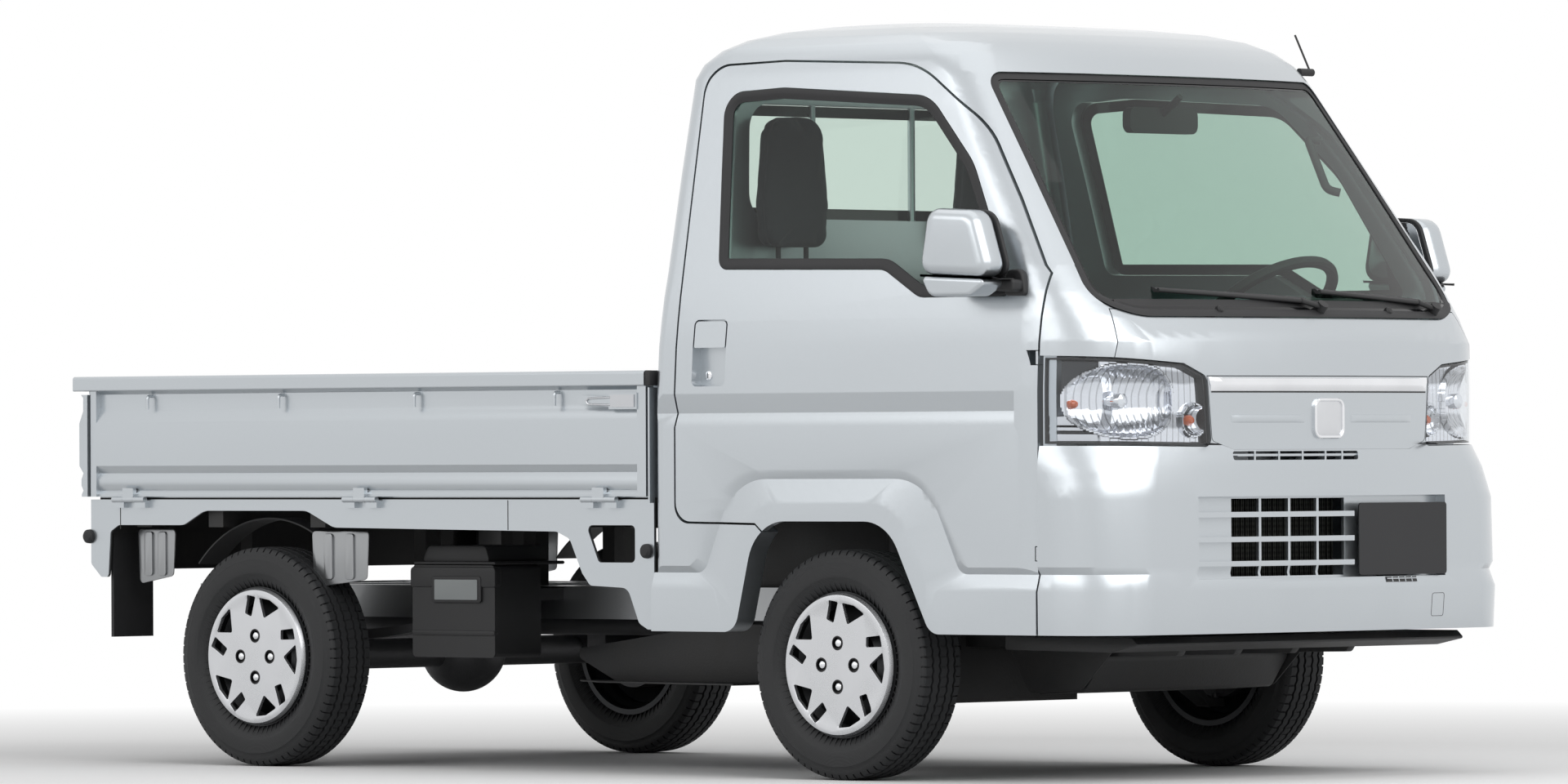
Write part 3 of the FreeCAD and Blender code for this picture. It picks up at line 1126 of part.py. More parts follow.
def build_fittings(parts):
    """Glass, trim and fittings on and inside the cab."""
    outer = cab_form()
    # Rear window pane
    parts["rear_window"] = rear_window_prism(-0.5, CAB_REAR_X - 6, CAB_REAR_X - 1)

    # Dashboard across the cab, under the windshield
    dash = prism([(520, 800, 30), (470, 900, 30), (480, 1010, 40), (560, 1038, 30), (FIREWALL_X - SEAT_GAP, 1032),
                  (FIREWALL_X - SEAT_GAP, 800)], "xz", -560, 560)

    parts["seats"] = both_sides(seat_solid())

    # Steering wheel on its column, leaning towards the driver
    tilt = math.radians(STEERING_COLUMN_TILT)
    axis = vec(-math.sin(tilt), 0, math.cos(tilt))
    hub = vec(STEERING_WHEEL_X, STEERING_WHEEL_Y, STEERING_WHEEL_Z)
    grip = [(STEERING_WHEEL_RADIUS + STEERING_GRIP * math.cos(math.radians(36 * k)),
             STEERING_GRIP * math.sin(math.radians(36 * k))) for k in range(10)]
    ring = turned(grip)
    ring.Placement = FreeCAD.Placement(hub, FreeCAD.Rotation(vec(0, 1, 0), axis))
    boss = Part.makeCylinder(50, 45, hub - axis * 40, axis)
    spokes = []
    for side in (1, -1):
        spokes.append(rod(hub, hub + vec(0, side * STEERING_WHEEL_RADIUS, 0), 12))
    forward = vec(math.cos(tilt), 0, math.sin(tilt))
    spokes.append(rod(hub, hub - forward * STEERING_WHEEL_RADIUS, 12))
    column = rod(hub - axis * 38, hub - axis * 150, STEERING_COLUMN_RADIUS)
    parts["steering_wheel"] = fuse([ring, boss, column] + spokes)
    socket = rod(hub - axis * 60, hub - axis * 152, STEERING_COLUMN_RADIUS + SEAT_GAP)
    parts["dashboard"] = dash.cut(socket)

    # Interior mirror under the windshield header
    outward = glass_normal()
    root = on_glass(0, 1575, 0)
    end = root - outward * 80
    stalk = rod(root, end, 8).common(cab_form(GLASS_INSET + GLASS + SEAT_GAP))
    glass = prism([(-120, end.z - 45, 20), (120, end.z - 45, 20), (120, end.z + 15, 20),
                   (-120, end.z + 15, 20)], "yz", end.x - 20, end.x + 3)
    parts["interior_mirror"] = fuse([stalk, glass])

    # Antenna along the left pillar
    foot = vec(300, 590, 1640)
    base = rod(foot - vec(0, 14, 0), foot + vec(0, 34, 0), 9).cut(outer)
    mast = rod(foot + vec(0, 28, 0), foot + vec(-60, 44, 90), 2.5)
    parts["antenna"] = fuse([base, mast])

    # Wipers parked on the cowl
    clearance = cab_form(-SEAT_GAP)
    wipers = []
    for pivot_y, tip_y in ((30.0, -455.0), (500.0, 60.0)):
        foot = on_glass(pivot_y, 1068, 1)
        elbow = on_glass(pivot_y - 60, 1090, 14)
        tip = on_glass(tip_y, 1112, 10)
        wiper = fuse([rod(foot, foot + vec(14, 0, 16), 13), rod(foot + vec(9, 0, 8), elbow, 6),
                      rod(elbow, tip, 5)])
        wipers.append(wiper.cut(clearance))
    parts["wipers"] = Part.makeCompound(wipers)

    # Door mirrors: shell, lower pod, arm, and a sail that sits in the window's front corner
    shell = prism([(350, 1149, 30), (378, 1300, 30), (521, 1292, 35), (573, 1138, 25)], "xz", 745, 835)
    pod = frustum([(352, 1150), (560, 1140), (500, 1098), (380, 1098)], 748,
                  [(356, 1150), (550, 1140), (500, 1104), (384, 1104)], 825, "xz")
    arm = block(515, 560, 721, 760, 1108, 1142)
    sail = cab_form(-8).cut(cab_form(GLASS_INSET)).common(prism(window_points(1), "xz", 300, 800))
    sail = sail.common(prism([(455, 1000), (455, 1215), (600, 1215), (600, 1000)], "xz", 300, 800))
    mirror = fuse([shell, pod, arm, sail])
    parts["door_mirror_left"] = mirror
    parts["door_mirror_right"] = mirrored(mirror)


def seat_solid():
    """The left seat, against the rear wall: cushion, backrest, and a tall headrest on two posts."""
    floor = CAB_FLOOR_Z + SEAT_GAP
    back = SEAT_BACK_X
    inner = SEAT_Y - SEAT_WIDTH / 2
    outer = SEAT_Y + SEAT_WIDTH / 2
    front = back + SEAT_DEPTH
    body = prism([(back + 60, floor, 10), (front - 20, floor, 20), (front, SEAT_TOP_Z - 15, 45),
                  (back + 170, SEAT_TOP_Z - 35, 30), (back + 120, SEAT_BACK_TOP_Z - 60, 60),
                  (back + 90, SEAT_BACK_TOP_Z, 25), (back + 12, SEAT_BACK_TOP_Z, 25),
                  (back + 60, SEAT_TOP_Z - 60, 40)], "xz", inner, outer)
    low = SEAT_BACK_TOP_Z + 30
    half = HEADREST_WIDTH / 2
    head = prism([(SEAT_Y - half + 12, low, 35), (SEAT_Y + half - 12, low, 35), (SEAT_Y + half, low + 110, 60),
                  (SEAT_Y + half - 25, HEADREST_TOP_Z, 60), (SEAT_Y - half + 25, HEADREST_TOP_Z, 60),
                  (SEAT_Y - half, low + 110, 60)], "yz", back + 6, back + 6 + HEADREST_DEPTH)
    posts = []
    for side in (1, -1):
        foot = vec(back + 48, SEAT_Y + side * HEADREST_POST, SEAT_BACK_TOP_Z - 20)
        posts.append(Part.makeCylinder(6, 80, foot))
    return fuse([body, head] + posts)


def glass_normal():
    """The windshield's outward direction on the centre line."""
    low, high = GLASS_LEVELS[0], GLASS_LEVELS[-1]
    rise = vec(high[2] - low[2], 0, high[0] - low[0])
    return vec(rise.z, 0, -rise.x).normalize()


def on_glass(y, z, proud):
    """A point in front of the windshield at a side place and level, standing proud of it."""
    level = 0
    while GLASS_LEVELS[level + 1][0] < z:
        level += 1
    low, high = GLASS_LEVELS[level], GLASS_LEVELS[level + 1]
    share = (z - low[0]) / (high[0] - low[0])
    front = low[2] + (high[2] - low[2]) * share
    front_arc = low[3] + (high[3] - low[3]) * share
    return vec(front - front_arc + math.sqrt(front_arc ** 2 - y ** 2) + proud, y, z)


def main():
    """Builds every sub-part and writes one STEP file each."""
    parts = {}
    build_cab(parts)
    build_bumper(parts)
    build_wheels(parts)
    build_running_gear(parts)
    parts["chassis_frame"] = build_frame(parts)
    build_gates(parts)
    build_tailgate(parts)
    build_bed(parts)
    build_fittings(parts)
    os.makedirs("parts", exist_ok=True)
    for name, shape in parts.items():
        shape = shape.translated(vec(-MID_X, 0, 0))
        solids = [s for s in shape.Solids if s.Volume > 1]
        print(name, len(solids), round(shape.Volume / 1e6, 2), shape.isValid())
        if len(solids) == 1:
            shape = solids[0]
        else:
            shape = Part.makeCompound(solids)
        shape.exportStep(f"parts/{name}.step")


main()
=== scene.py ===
import json
import math

import bmesh
import bpy
from mathutils import Matrix, Vector
from mathutils.bvhtree import BVHTree


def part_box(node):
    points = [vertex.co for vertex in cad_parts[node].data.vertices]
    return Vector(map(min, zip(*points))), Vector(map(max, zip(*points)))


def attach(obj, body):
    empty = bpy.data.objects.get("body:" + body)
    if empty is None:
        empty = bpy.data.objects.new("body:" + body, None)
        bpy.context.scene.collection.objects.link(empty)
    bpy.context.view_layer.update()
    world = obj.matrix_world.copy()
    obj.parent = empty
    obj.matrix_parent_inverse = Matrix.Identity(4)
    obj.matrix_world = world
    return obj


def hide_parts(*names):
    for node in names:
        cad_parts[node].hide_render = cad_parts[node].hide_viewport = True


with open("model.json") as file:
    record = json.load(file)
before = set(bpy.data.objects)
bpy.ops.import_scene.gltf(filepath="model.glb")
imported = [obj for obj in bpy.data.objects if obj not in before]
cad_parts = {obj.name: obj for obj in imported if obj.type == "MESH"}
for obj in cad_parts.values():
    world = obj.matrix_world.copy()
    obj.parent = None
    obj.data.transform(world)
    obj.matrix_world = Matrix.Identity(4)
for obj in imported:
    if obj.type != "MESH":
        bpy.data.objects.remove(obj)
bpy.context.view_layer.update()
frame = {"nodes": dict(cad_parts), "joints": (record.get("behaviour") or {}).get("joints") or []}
NODES = frame["nodes"]

# Metres, with X forward, Y to the vehicle's left and Z up, as in the frame.

SIDES = ((1, "left"), (-1, "right"))


def linked(name, data):
    """A new object in the scene."""
    made = bpy.data.objects.new(name, data)
    bpy.context.scene.collection.objects.link(made)
    return made


def modifier(piece, name, kind, **settings):
    """A new modifier of a piece, with its settings."""
    made = piece.modifiers.new(name, kind)
    for key, value in settings.items():
        setattr(made, key, value)
    return made


# Camera, fitted to the lines of the photograph

CAMERA_DISTANCE = 24.8509
CAMERA_AZIMUTH = 47.2597
CAMERA_HEIGHT = 0.75447
CAMERA_PITCH = -0.3216
CAMERA_YAW = 0.0053
CAMERA_ROLL = -0.2562
FOCAL_PIXELS = 12743.2
IMAGE_WIDTH = 1920
SENSOR = 36.0
FARTHEST = 200


def make_camera():
    bearing = math.radians(CAMERA_AZIMUTH)
    place = Vector((CAMERA_DISTANCE * math.cos(bearing), -CAMERA_DISTANCE * math.sin(bearing), CAMERA_HEIGHT))
    heading = math.radians(CAMERA_AZIMUTH + CAMERA_YAW)
    pitch = math.radians(CAMERA_PITCH)
    roll = math.radians(CAMERA_ROLL)
    forward = Vector((-math.cos(heading) * math.cos(pitch), math.sin(heading) * math.cos(pitch),
                      -math.sin(pitch)))
    side = forward.cross(Vector((0, 0, 1))).normalized()
    up = side.cross(forward)
    right = side * math.cos(roll) + up * math.sin(roll)
    top = up * math.cos(roll) - side * math.sin(roll)
    data = bpy.data.cameras.new("camera")
    data.sensor_width = SENSOR
    data.lens = FOCAL_PIXELS / IMAGE_WIDTH * SENSOR
    data.clip_end = FARTHEST
    camera = linked("camera", data)
    turn = Matrix((right, top, -forward)).transposed().to_4x4()
    camera.matrix_world = Matrix.Translation(place) @ turn
    bpy.context.scene.camera = camera


make_camera()


# Shader maths

def operator(operation, swapped=False):
    """A method that adds one maths node to a shader."""
    def method(self, *others):
        values = (*others, self) if swapped else (self, *others)
        return self.maths(operation, *values)
    return method


class Sock:
    """A shader socket that can be used in plain sums."""

    def __init__(self, tree, socket):
        self.tree = tree
        self.socket = socket

    def maths(self, operation, *values):
        node = self.tree.nodes.new("ShaderNodeMath")
        node.operation = operation
        for place, value in enumerate(values):
            if isinstance(value, Sock):
                self.tree.links.new(value.socket, node.inputs[place])
            else:
                node.inputs[place].default_value = value
        return Sock(self.tree, node.outputs[0])

    __add__ = operator("ADD")
    __mul__ = operator("MULTIPLY")
    __sub__ = operator("SUBTRACT")
    __rsub__ = operator("SUBTRACT", swapped=True)
    __truediv__ = operator("DIVIDE")
    __pow__ = operator("POWER")
    __gt__ = operator("GREATER_THAN")
    __lt__ = operator("LESS_THAN")
    sine = operator("SINE")
    size = operator("ABSOLUTE")
    low = operator("MINIMUM")
    high = operator("MAXIMUM")

    def clamped(self):
        return self.high(0.0).low(1.0)


class Finish:
    """One material's node tree."""

    def __init__(self, name):
        self.material = bpy.data.materials.new(name)
        self.material.use_nodes = True
        self.tree = self.material.node_tree
        self.tree.nodes.clear()
        self.output = self.tree.nodes.new("ShaderNodeOutputMaterial")

    def node(self, kind, settings=None, out=0, **values):
        """A node of a kind, with its settings first, then its sockets' values or links."""
        node = self.tree.nodes.new("ShaderNode" + kind)
        for key, value in (settings or {}).items():
            setattr(node, key, value)
        for key, value in values.items():
            socket = node.inputs[int(key[1:]) if key[1:].isdigit() else key.replace("_", " ")]
            if isinstance(value, Sock):
                self.tree.links.new(value.socket, socket)
            else:
                socket.default_value = value
        return Sock(self.tree, node.outputs[out])

    def place(self):
        """The surface point in the object's own frame, in metres."""
        return self.node("TexCoord", out=3)

    def axis(self, which, place=None):
        """One coordinate of the surface point, or of another vector."""
        return self.node("SeparateXYZ", out="XYZ".index(which), i0=place or self.place())

    def wave(self, which, scale):
        return (self.axis(which) * scale).sine()

    def noise(self, scale, detail=3.0, rough=0.5):
        return self.node("TexNoise", Vector=self.place(), Scale=scale, Detail=detail, Roughness=rough)

    def blend(self, share, low, high):
        """A colour between two colours."""
        return self.node("Mix", {"data_type": "RGBA"}, out=2, i0=share, i6=low, i7=high)

    def bump(self, height, depth):
        return self.node("Bump", Height=height, Distance=depth, Strength=1.0)

    def done(self, **values):
        """The material, with the plain surface shader."""
        return self.ends_in(self.node("BsdfPrincipled", **values))

    def ends_in(self, surface):
        self.tree.links.new(surface.socket, self.output.inputs[0])
        return self.material


def tone(color, factor=1.0, lift=0.0):
    """A colour made darker or lighter, with full alpha."""
    return (*[min(c * factor + lift, 1.0) for c in color], 1.0)


# Finishes

SILVER = (0.54, 0.575, 0.603)
ROAD_DUST = (0.05, 0.046, 0.042)
DUST_CLOUD = (7.0, 6.0, 0.65)


def lacquer(f, tint):
    """The sparkle of fine flakes, the lacquer's colour over them, and a faint ripple."""
    sparkle = f.axis("X", f.node("TexVoronoi", out=1, Vector=f.place(), Scale=2600.0))
    color = f.blend(sparkle * 0.5 + f.noise(1.2, 2.0) * 0.25, tone(tint, 0.93), tone(tint, 1.06))
    return sparkle, color, f.bump(f.noise(55.0, 1.0), 0.00012)


def silver_paint(name, tint=SILVER):
    """Silver metallic lacquer under a clear coat."""
    f = Finish(name)
    sparkle, color, ripple = lacquer(f, tint)
    return f.done(Base_Color=color, Metallic=0.85, Roughness=sparkle * 0.05 + 0.28, Coat_Weight=0.6,
                  Coat_Roughness=0.1, Normal=ripple)


def bed_paint(name):
    """The body's lacquer outside, and black on what lies under the bed floor: black chassis paint, and
    painted shade under the bed as well.
    """
    f = Finish(name)
    # Under the bed floor: black for chassis paint and for painted shade there.
    under = (f.axis("Z") < 0.6465) * (f.axis("Y").size() < 0.7125)
    sparkle, silver, ripple = lacquer(f, SILVER)
    black = f.blend(f.noise(*DUST_CLOUD) ** 2.0, tone((0.016, 0.017, 0.018)), tone(ROAD_DUST))
    return f.done(Base_Color=f.blend(under, silver, black), Metallic=(1.0 - under) * 0.85,
                  Roughness=under * 0.3 + sparkle * 0.05 + 0.28, Coat_Weight=(1.0 - under) * 0.6,
                  Coat_Roughness=0.1, Normal=ripple)


def moulded(name, color, roughness=0.55, grain=900.0, depth=0.00004, wear=0.12):
    """Moulded plastic with a fine leather-like grain and a little dusting."""
    f = Finish(name)
    cells = f.node("TexVoronoi", {"feature": "DISTANCE_TO_EDGE"}, Vector=f.place(), Scale=grain)
    dust = f.noise(6.0, 4.0)
    return f.done(Base_Color=f.blend(dust * wear * 2, tone(color), tone(color, 1.5, 0.012)),
                  Roughness=dust * 0.12 + (roughness - 0.06), Normal=f.bump(cells.low(0.3), depth))


def metal(name, color, roughness=0.3, streak=0.0, metallic=1.0):
    f = Finish(name)
    blotch = f.noise(9.0, 4.0)
    fine = f.noise(320.0, 2.0)
    return f.done(Base_Color=f.blend(blotch, tone(color, 0.9), tone(color, 1.08)), Metallic=metallic,
                  Roughness=blotch * 0.1 + roughness - 0.05 + fine * streak, Normal=f.bump(fine, 0.00006))


def clouded(name, low, high, cloud, rough, grain, depth, share=lambda dust: dust, **more):
    """A finish that wanders between two colours, with its roughness, over a fine grain."""
    f = Finish(name)
    dust = f.noise(*cloud)
    return f.done(Base_Color=f.blend(share(dust), low, high), Roughness=dust * rough[0] + rough[1],
                  Normal=f.bump(f.noise(*grain), depth), **more)


def cast(name, color):
    return clouded(name, tone(color, 0.6), tone(color), (12.0, 5.0, 0.6), (0.2, 0.45), (240.0, 4.0), 0.0005,
                   Metallic=0.7)


def chrome_with_painted_reflections(name):
    """Bright lamp reflector with painted reflections: dark and light bands along its flutes, and steps across
    them, are painted into its base colour in place of the surroundings it would mirror.
    """
    f = Finish(name)
    wander = f.noise(9.0, 2.0)
    # Painted reflection: dark bands across y and dark steps up z, blended into the base colour.
    dark = (((f.axis("Y") * 370.0 + wander * 3.0).sine() - 0.72) * 5.0).clamped()
    painted_reflection_steps = (((f.axis("Z") * 62.0 + wander * 2.5).sine() - 0.35) * 3.0).clamped()
    shade = f.blend((dark * 0.35 + painted_reflection_steps * 0.5).low(1.0), tone((0.82, 0.83, 0.86)), tone((0.12, 0.125, 0.13)))
    return f.done(Base_Color=shade, Metallic=1.0, Roughness=wander * 0.05 + 0.06)


def radiator_core(name):
    """Thin upright fins between flat tubes."""
    f = Finish(name)
    fins = f.wave("Y", 1900.0)
    share = (fins * 0.5 + 0.5) * (f.wave("Z", 520.0) * 0.25 + 0.75)
    return f.done(Base_Color=f.blend(share, tone((0.012, 0.013, 0.012)), tone((0.12, 0.125, 0.11))),
                  Metallic=0.5, Roughness=fins * 0.05 + 0.5, Normal=f.bump(fins, 0.001))


def tyre_side(name, color):
    """Tyre rubber: fine moulding rings round the sidewall, a little grey from the road on the tread."""
    f = Finish(name)
    across = f.axis("X")
    up = f.axis("Z")
    radius = (across * across + up * up) ** 0.5
    rings = (radius * 2600.0).sine()
    wall = (radius < 0.252) * (f.axis("Y").size() > 0.05)
    dust = f.noise(16.0, 5.0, 0.6)
    tread = (radius > 0.259) * 0.5
    return f.done(Base_Color=f.blend((dust * 0.5 + tread).low(1.0), tone(color), tone(color, 2.0, 0.006)),
                  Roughness=dust * 0.15 + tread * 0.3 + 0.5,
                  Normal=f.bump(rings * wall * 0.5 + f.noise(500.0, 3.0) * 0.6, 0.0003))


def clear_sheet(name, tint, gloss, roughness, index):
    """Thin glass or clear plastic: mostly clear, with its tint and the studio's reflection on it."""
    f = Finish(name)
    clear = f.node("BsdfTransparent", Color=tone(tint))
    sheen = f.node("BsdfGlossy", Color=tone([gloss] * 3), Roughness=roughness)
    share = f.node("Fresnel", IOR=index) * (1.0 - f.node("NewGeometry", out=6))
    return f.ends_in(f.node("MixShader", i0=share, i1=clear, i2=sheen))


def fabric(name, color):
    """Woven seat cloth."""
    f = Finish(name)
    weave = f.wave("Y", 4200.0) * f.wave("Z", 4200.0)
    fleck = f.noise(900.0, 2.0)
    return f.done(Base_Color=f.blend(fleck * 0.7 + weave * 0.1, tone(color), tone(color, 1.9)),
                  Roughness=0.88, Sheen_Weight=0.25, Sheen_Roughness=0.4,
                  Normal=f.bump(weave + fleck * 0.6, 0.00014))


BLACK_RUBBER = (0.012, 0.012, 0.013)
AMBER_COLOR = (0.75, 0.13, 0.02)
GLASS_INDEX = 1.45
LENS_INDEX = 1.5

PAINT = silver_paint("silver_paint")
GLASS = clear_sheet("side_glass", (0.86, 0.905, 0.88), 0.9, 0.01, GLASS_INDEX)
SHIELD_GLASS = clear_sheet("windshield_glass", (0.66, 0.77, 0.72), 0.9, 0.01, GLASS_INDEX)
CLEAR_LENS = clear_sheet("clear_lens", (0.95, 0.96, 0.97), 1.0, 0.02, LENS_INDEX)
TRIM_BLACK = moulded("black_trim", (0.012, 0.012, 0.013))
TRIM_GREY = moulded("grey_trim", (0.045, 0.047, 0.05))
CHROME = metal("chrome", (0.82, 0.83, 0.85), 0.08)
REFLECTOR = chrome_with_painted_reflections("lamp_reflector")
MIRROR = metal("mirror_glass", (0.7, 0.72, 0.74), 0.06)
RUBBER = clouded("black_rubber", tone(BLACK_RUBBER), tone(BLACK_RUBBER, 2.2, 0.008), (14.0, 5.0, 0.6),
                 (0.2, 0.5), (420.0, 3.0), 0.00015, lambda dust: dust * 0.6)
TYRE_RUBBER = tyre_side("tyre_rubber", (0.0095, 0.01, 0.011))
CAP_SILVER = metal("cap_silver", (0.66, 0.67, 0.69), 0.26, 0.04, 0.85)
BED_PAINT = bed_paint("bed_paint")
RADIATOR = radiator_core("radiator_core")
LAMP_DARK = metal("lamp_dark", (0.07, 0.072, 0.075), 0.2)
CHASSIS = clouded("chassis_black", tone((0.022, 0.023, 0.025)), tone(ROAD_DUST), DUST_CLOUD, (0.25, 0.42),
                  (160.0, 4.0), 0.0004, lambda dust: dust ** 2.0)
FRAME_SILVER = silver_paint("frame_silver", (0.36, 0.37, 0.38))
RAIL_SILVER = metal("rail_silver", (0.5, 0.51, 0.51), 0.42, 0.1, 0.7)
CAST_IRON = cast("cast_iron", (0.14, 0.14, 0.145))
CLOTH = fabric("seat_cloth", (0.055, 0.057, 0.065))
GLOSS_BLACK = moulded("gloss_black", (0.006, 0.006, 0.007), 0.12, 300.0, 0.00002, 0.05)
SATIN_SILVER = metal("satin_silver", (0.66, 0.67, 0.69), 0.3)
STEEL = metal("bright_steel", (0.55, 0.56, 0.58), 0.28)
RIM_STEEL = metal("rim_steel", (0.05, 0.052, 0.055), 0.45, 0.0, 0.6)
AMBER = clouded("amber_bulb", tone(AMBER_COLOR, 0.8), tone(AMBER_COLOR, 1.15), (90.0, 2.0), (0.08, 0.06),
                (260.0, 1.0), 0.0001, Coat_Weight=0.8)
LABEL_GREY = moulded("label_grey", (0.33, 0.35, 0.35), 0.5, 1500.0, 0.00002)
RED_LENS = moulded("red_lens", (0.35, 0.01, 0.01), 0.15, 500.0, 0.0001)
PLATE_GREY = moulded("plate_grey", (0.009, 0.0095, 0.0115), 0.45, 1500.0, 0.00002, 0.05)

# Nodes that aren't in body colour, by the start of their names

NODE_FINISHES = (
    ("tyre_", TYRE_RUBBER), ("wheel_cap", CAP_SILVER), ("wheel_", RIM_STEEL), ("door_glass", GLASS),
    ("windshield", SHIELD_GLASS), ("rear_window", GLASS), ("bed_body", BED_PAINT), ("cowl_panel", TRIM_BLACK),
    ("headlamp_lenses", CLEAR_LENS), ("headlamp_housings", REFLECTOR), ("plate_blank", PLATE_GREY),
    ("knuckle_", CAST_IRON), ("rear_axle", CAST_IRON), ("muffler", CAST_IRON), ("front_suspension", CHASSIS),
    ("engine_block", CHASSIS), ("fuel_tank", CHASSIS), ("radiator", RADIATOR), ("battery_box", TRIM_BLACK),
    ("chassis_frame", FRAME_SILVER), ("mud_flaps", RUBBER), ("tail_lamps", RED_LENS),
    ("dashboard", TRIM_GREY), ("seats", CLOTH), ("steering_wheel", TRIM_BLACK),
    ("interior_mirror", TRIM_BLACK), ("antenna", TRIM_BLACK), ("wipers", TRIM_BLACK))

# The finish of a node, body colour where the table lists none


def finish_of(node):
    return next((finish for start, finish in NODE_FINISHES if node.startswith(start)), PAINT)


SMOOTH_ANGLE = math.radians(32)
WELD_DISTANCE = 0.00001


def smoothing_group():
    """Geometry nodes that weld a mesh and shade it smooth except over sharp edges."""
    group = bpy.data.node_groups.new("smooth_by_angle", "GeometryNodeTree")
    for way in ("INPUT", "OUTPUT"):
        group.interface.new_socket("Geometry", in_out=way, socket_type="NodeSocketGeometry")
    first, last, weld, faces, angle, flat, edges = [group.nodes.new(kind) for kind in (
        "NodeGroupInput", "NodeGroupOutput", "GeometryNodeMergeByDistance", "GeometryNodeSetShadeSmooth",
        "GeometryNodeInputMeshEdgeAngle", "FunctionNodeCompare", "GeometryNodeSetShadeSmooth")]
    weld.inputs["Distance"].default_value = WELD_DISTANCE
    faces.domain = "FACE"
    faces.inputs["Shade Smooth"].default_value = True
    flat.operation = "LESS_THAN"
    flat.inputs[1].default_value = SMOOTH_ANGLE
    edges.domain = "EDGE"
    for start, end, socket in ((first, weld, 0), (weld, faces, 0), (faces, edges, 0), (angle, flat, 0),
                               (flat, edges, "Shade Smooth"), (edges, last, 0)):
        group.links.new(start.outputs[0], end.inputs[socket])
    return group


SMOOTHING = smoothing_group()


def smooth(piece):
    modifier(piece, "smooth_by_angle", "NODES", node_group=SMOOTHING)


def soft_edges(piece, width, steps, degrees):
    modifier(piece, "soft_edges", "BEVEL", width=width, segments=steps, limit_method="ANGLE",
             angle_limit=math.radians(degrees))


for node_name, node_object in NODES.items():
    if not node_object.material_slots:
        node_object.data.materials.append(None)
    for slot in node_object.material_slots:
        slot.material = finish_of(node_name)
    if node_name.startswith("wheel_cap"):
        modifier(node_object, "joined_faces", "WELD", merge_threshold=0.00002)
        soft_edges(node_object, 0.0016, 3, 50)
    smooth(node_object)
    modifier(node_object, "even_normals", "WEIGHTED_NORMAL", keep_sharp=True)


# Pieces from (verts, faces) shapes

EDGE_DEGREES = 28
BEND_LIMIT = 0.49
SAME_PLACE = 1e-7


def add_piece(name, mesh, finish, body="truck", slot=None, smoothed=True, bevel=0.0, steps=2, place=None,
              turn=1):
    """Links a new piece, gives it its finish, and lets it ride on its body."""
    piece = linked(name, mesh)
    if place:
        half_turn = Matrix.Rotation(0 if turn > 0 else math.pi, 4, "Z")
        piece.matrix_world = Matrix.Translation(place) @ half_turn
    if not mesh.materials:
        mesh.materials.append(finish)
    if bevel:
        soft_edges(piece, bevel, steps, EDGE_DEGREES)
    if smoothed:
        smooth(piece)
    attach(piece, body)
    return piece


def mesh_of(name, shape, rolled=0.0):
    """A welded mesh with its faces turned outwards, and its sharp edges rolled where that is asked."""
    verts, faces = shape
    mesh = bpy.data.meshes.new(name)
    mesh.from_pydata([tuple(v) for v in verts], [], faces)
    work = bmesh.new()
    work.from_mesh(mesh)
    bmesh.ops.remove_doubles(work, verts=work.verts, dist=SAME_PLACE)
    bmesh.ops.recalc_face_normals(work, faces=work.faces)
    if rolled:
        edges = [e for e in work.edges if len(e.link_faces) == 2 and e.calc_face_angle() > 1.0]
        bmesh.ops.bevel(work, geom=edges, offset=rolled, segments=4, profile=0.5, affect="EDGES")
    work.to_mesh(mesh)
    work.free()
    return mesh


def solid(name, shape, finish, *where, **options):
    return add_piece(name, mesh_of(name, shape), finish, *where, **options)


def joined(shapes):
    """Several shapes as one."""
    verts = []
    faces = []
    for more_verts, more_faces in shapes:
        start = len(verts)
        verts += [Vector(v) for v in more_verts]
        faces += [tuple(i + start for i in face) for face in more_faces]
    return verts, faces


def skin(rows, around=True, along=False):
    """A shape through rows of points: around closes each row, along closes the rows, one alone has ends."""
    count = len(rows[0])
    total = len(rows)
    faces = []
    if around and not along:
        faces = [tuple(range(count))[::-1], tuple(range((total - 1) * count, total * count))]
    if along and not around:
        faces = [tuple(range(0, total * count, count)), tuple(range(count - 1, total * count, count))[::-1]]
    for i in range(total if along else total - 1):
        a = i * count
        b = (i + 1) % total * count
        for k in range(count if around else count - 1):
            m = (k + 1) % count
            faces.append((a + k, a + m, b + m, b + k))
    return [v for row in rows for v in row], faces


def spread(start, end, steps):
    """Evenly spaced values from a start to an end."""
    return [start + (end - start) * i / steps for i in range(steps + 1)]


def rect(u0, u1, v0, v1, radius=0.0, top_radius=None):
    """A rectangle's corners, each with its radius."""
    top = radius if top_radius is None else top_radius
    return [(u0, v0, radius), (u1, v0, radius), (u1, v1, top), (u0, v1, top)]


def rounded(points, steps=6):
    """A polygon's points with its corners rounded; a third value is the corner's radius."""
    result = []
    count = len(points)
    for i, point in enumerate(points):
        corner = Vector(point[:2])
        radius = point[2] if len(point) > 2 else 0.0
        if not radius:
            result.append(corner)
            continue
        back = (Vector(points[i - 1][:2]) - corner).normalized()
        ahead = (Vector(points[(i + 1) % count][:2]) - corner).normalized()
        half = back.angle(ahead) / 2
        centre = corner + (back + ahead).normalized() * (radius / math.sin(half))
        first = corner + back * (radius / math.tan(half)) - centre
        turn = first.angle_signed(corner + ahead * (radius / math.tan(half)) - centre)
        for angle in spread(0, -turn, steps):
            result.append(centre + Vector((first.x * math.cos(angle) - first.y * math.sin(angle),
                                           first.x * math.sin(angle) + first.y * math.cos(angle))))
    return result


def resampled(points, count):
    """Evenly spaced points along a closed line."""
    closed = points + [points[0]]
    lengths = [0.0]
    for a, b in zip(closed, closed[1:]):
        lengths.append(lengths[-1] + (b - a).length)
    result = []
    place = 0
    for i in range(count):
        want = lengths[-1] * i / count
        while lengths[place + 1] < want:
            place += 1
        share = (want - lengths[place]) / (lengths[place + 1] - lengths[place])
        result.append(closed[place].lerp(closed[place + 1], share))
    return result


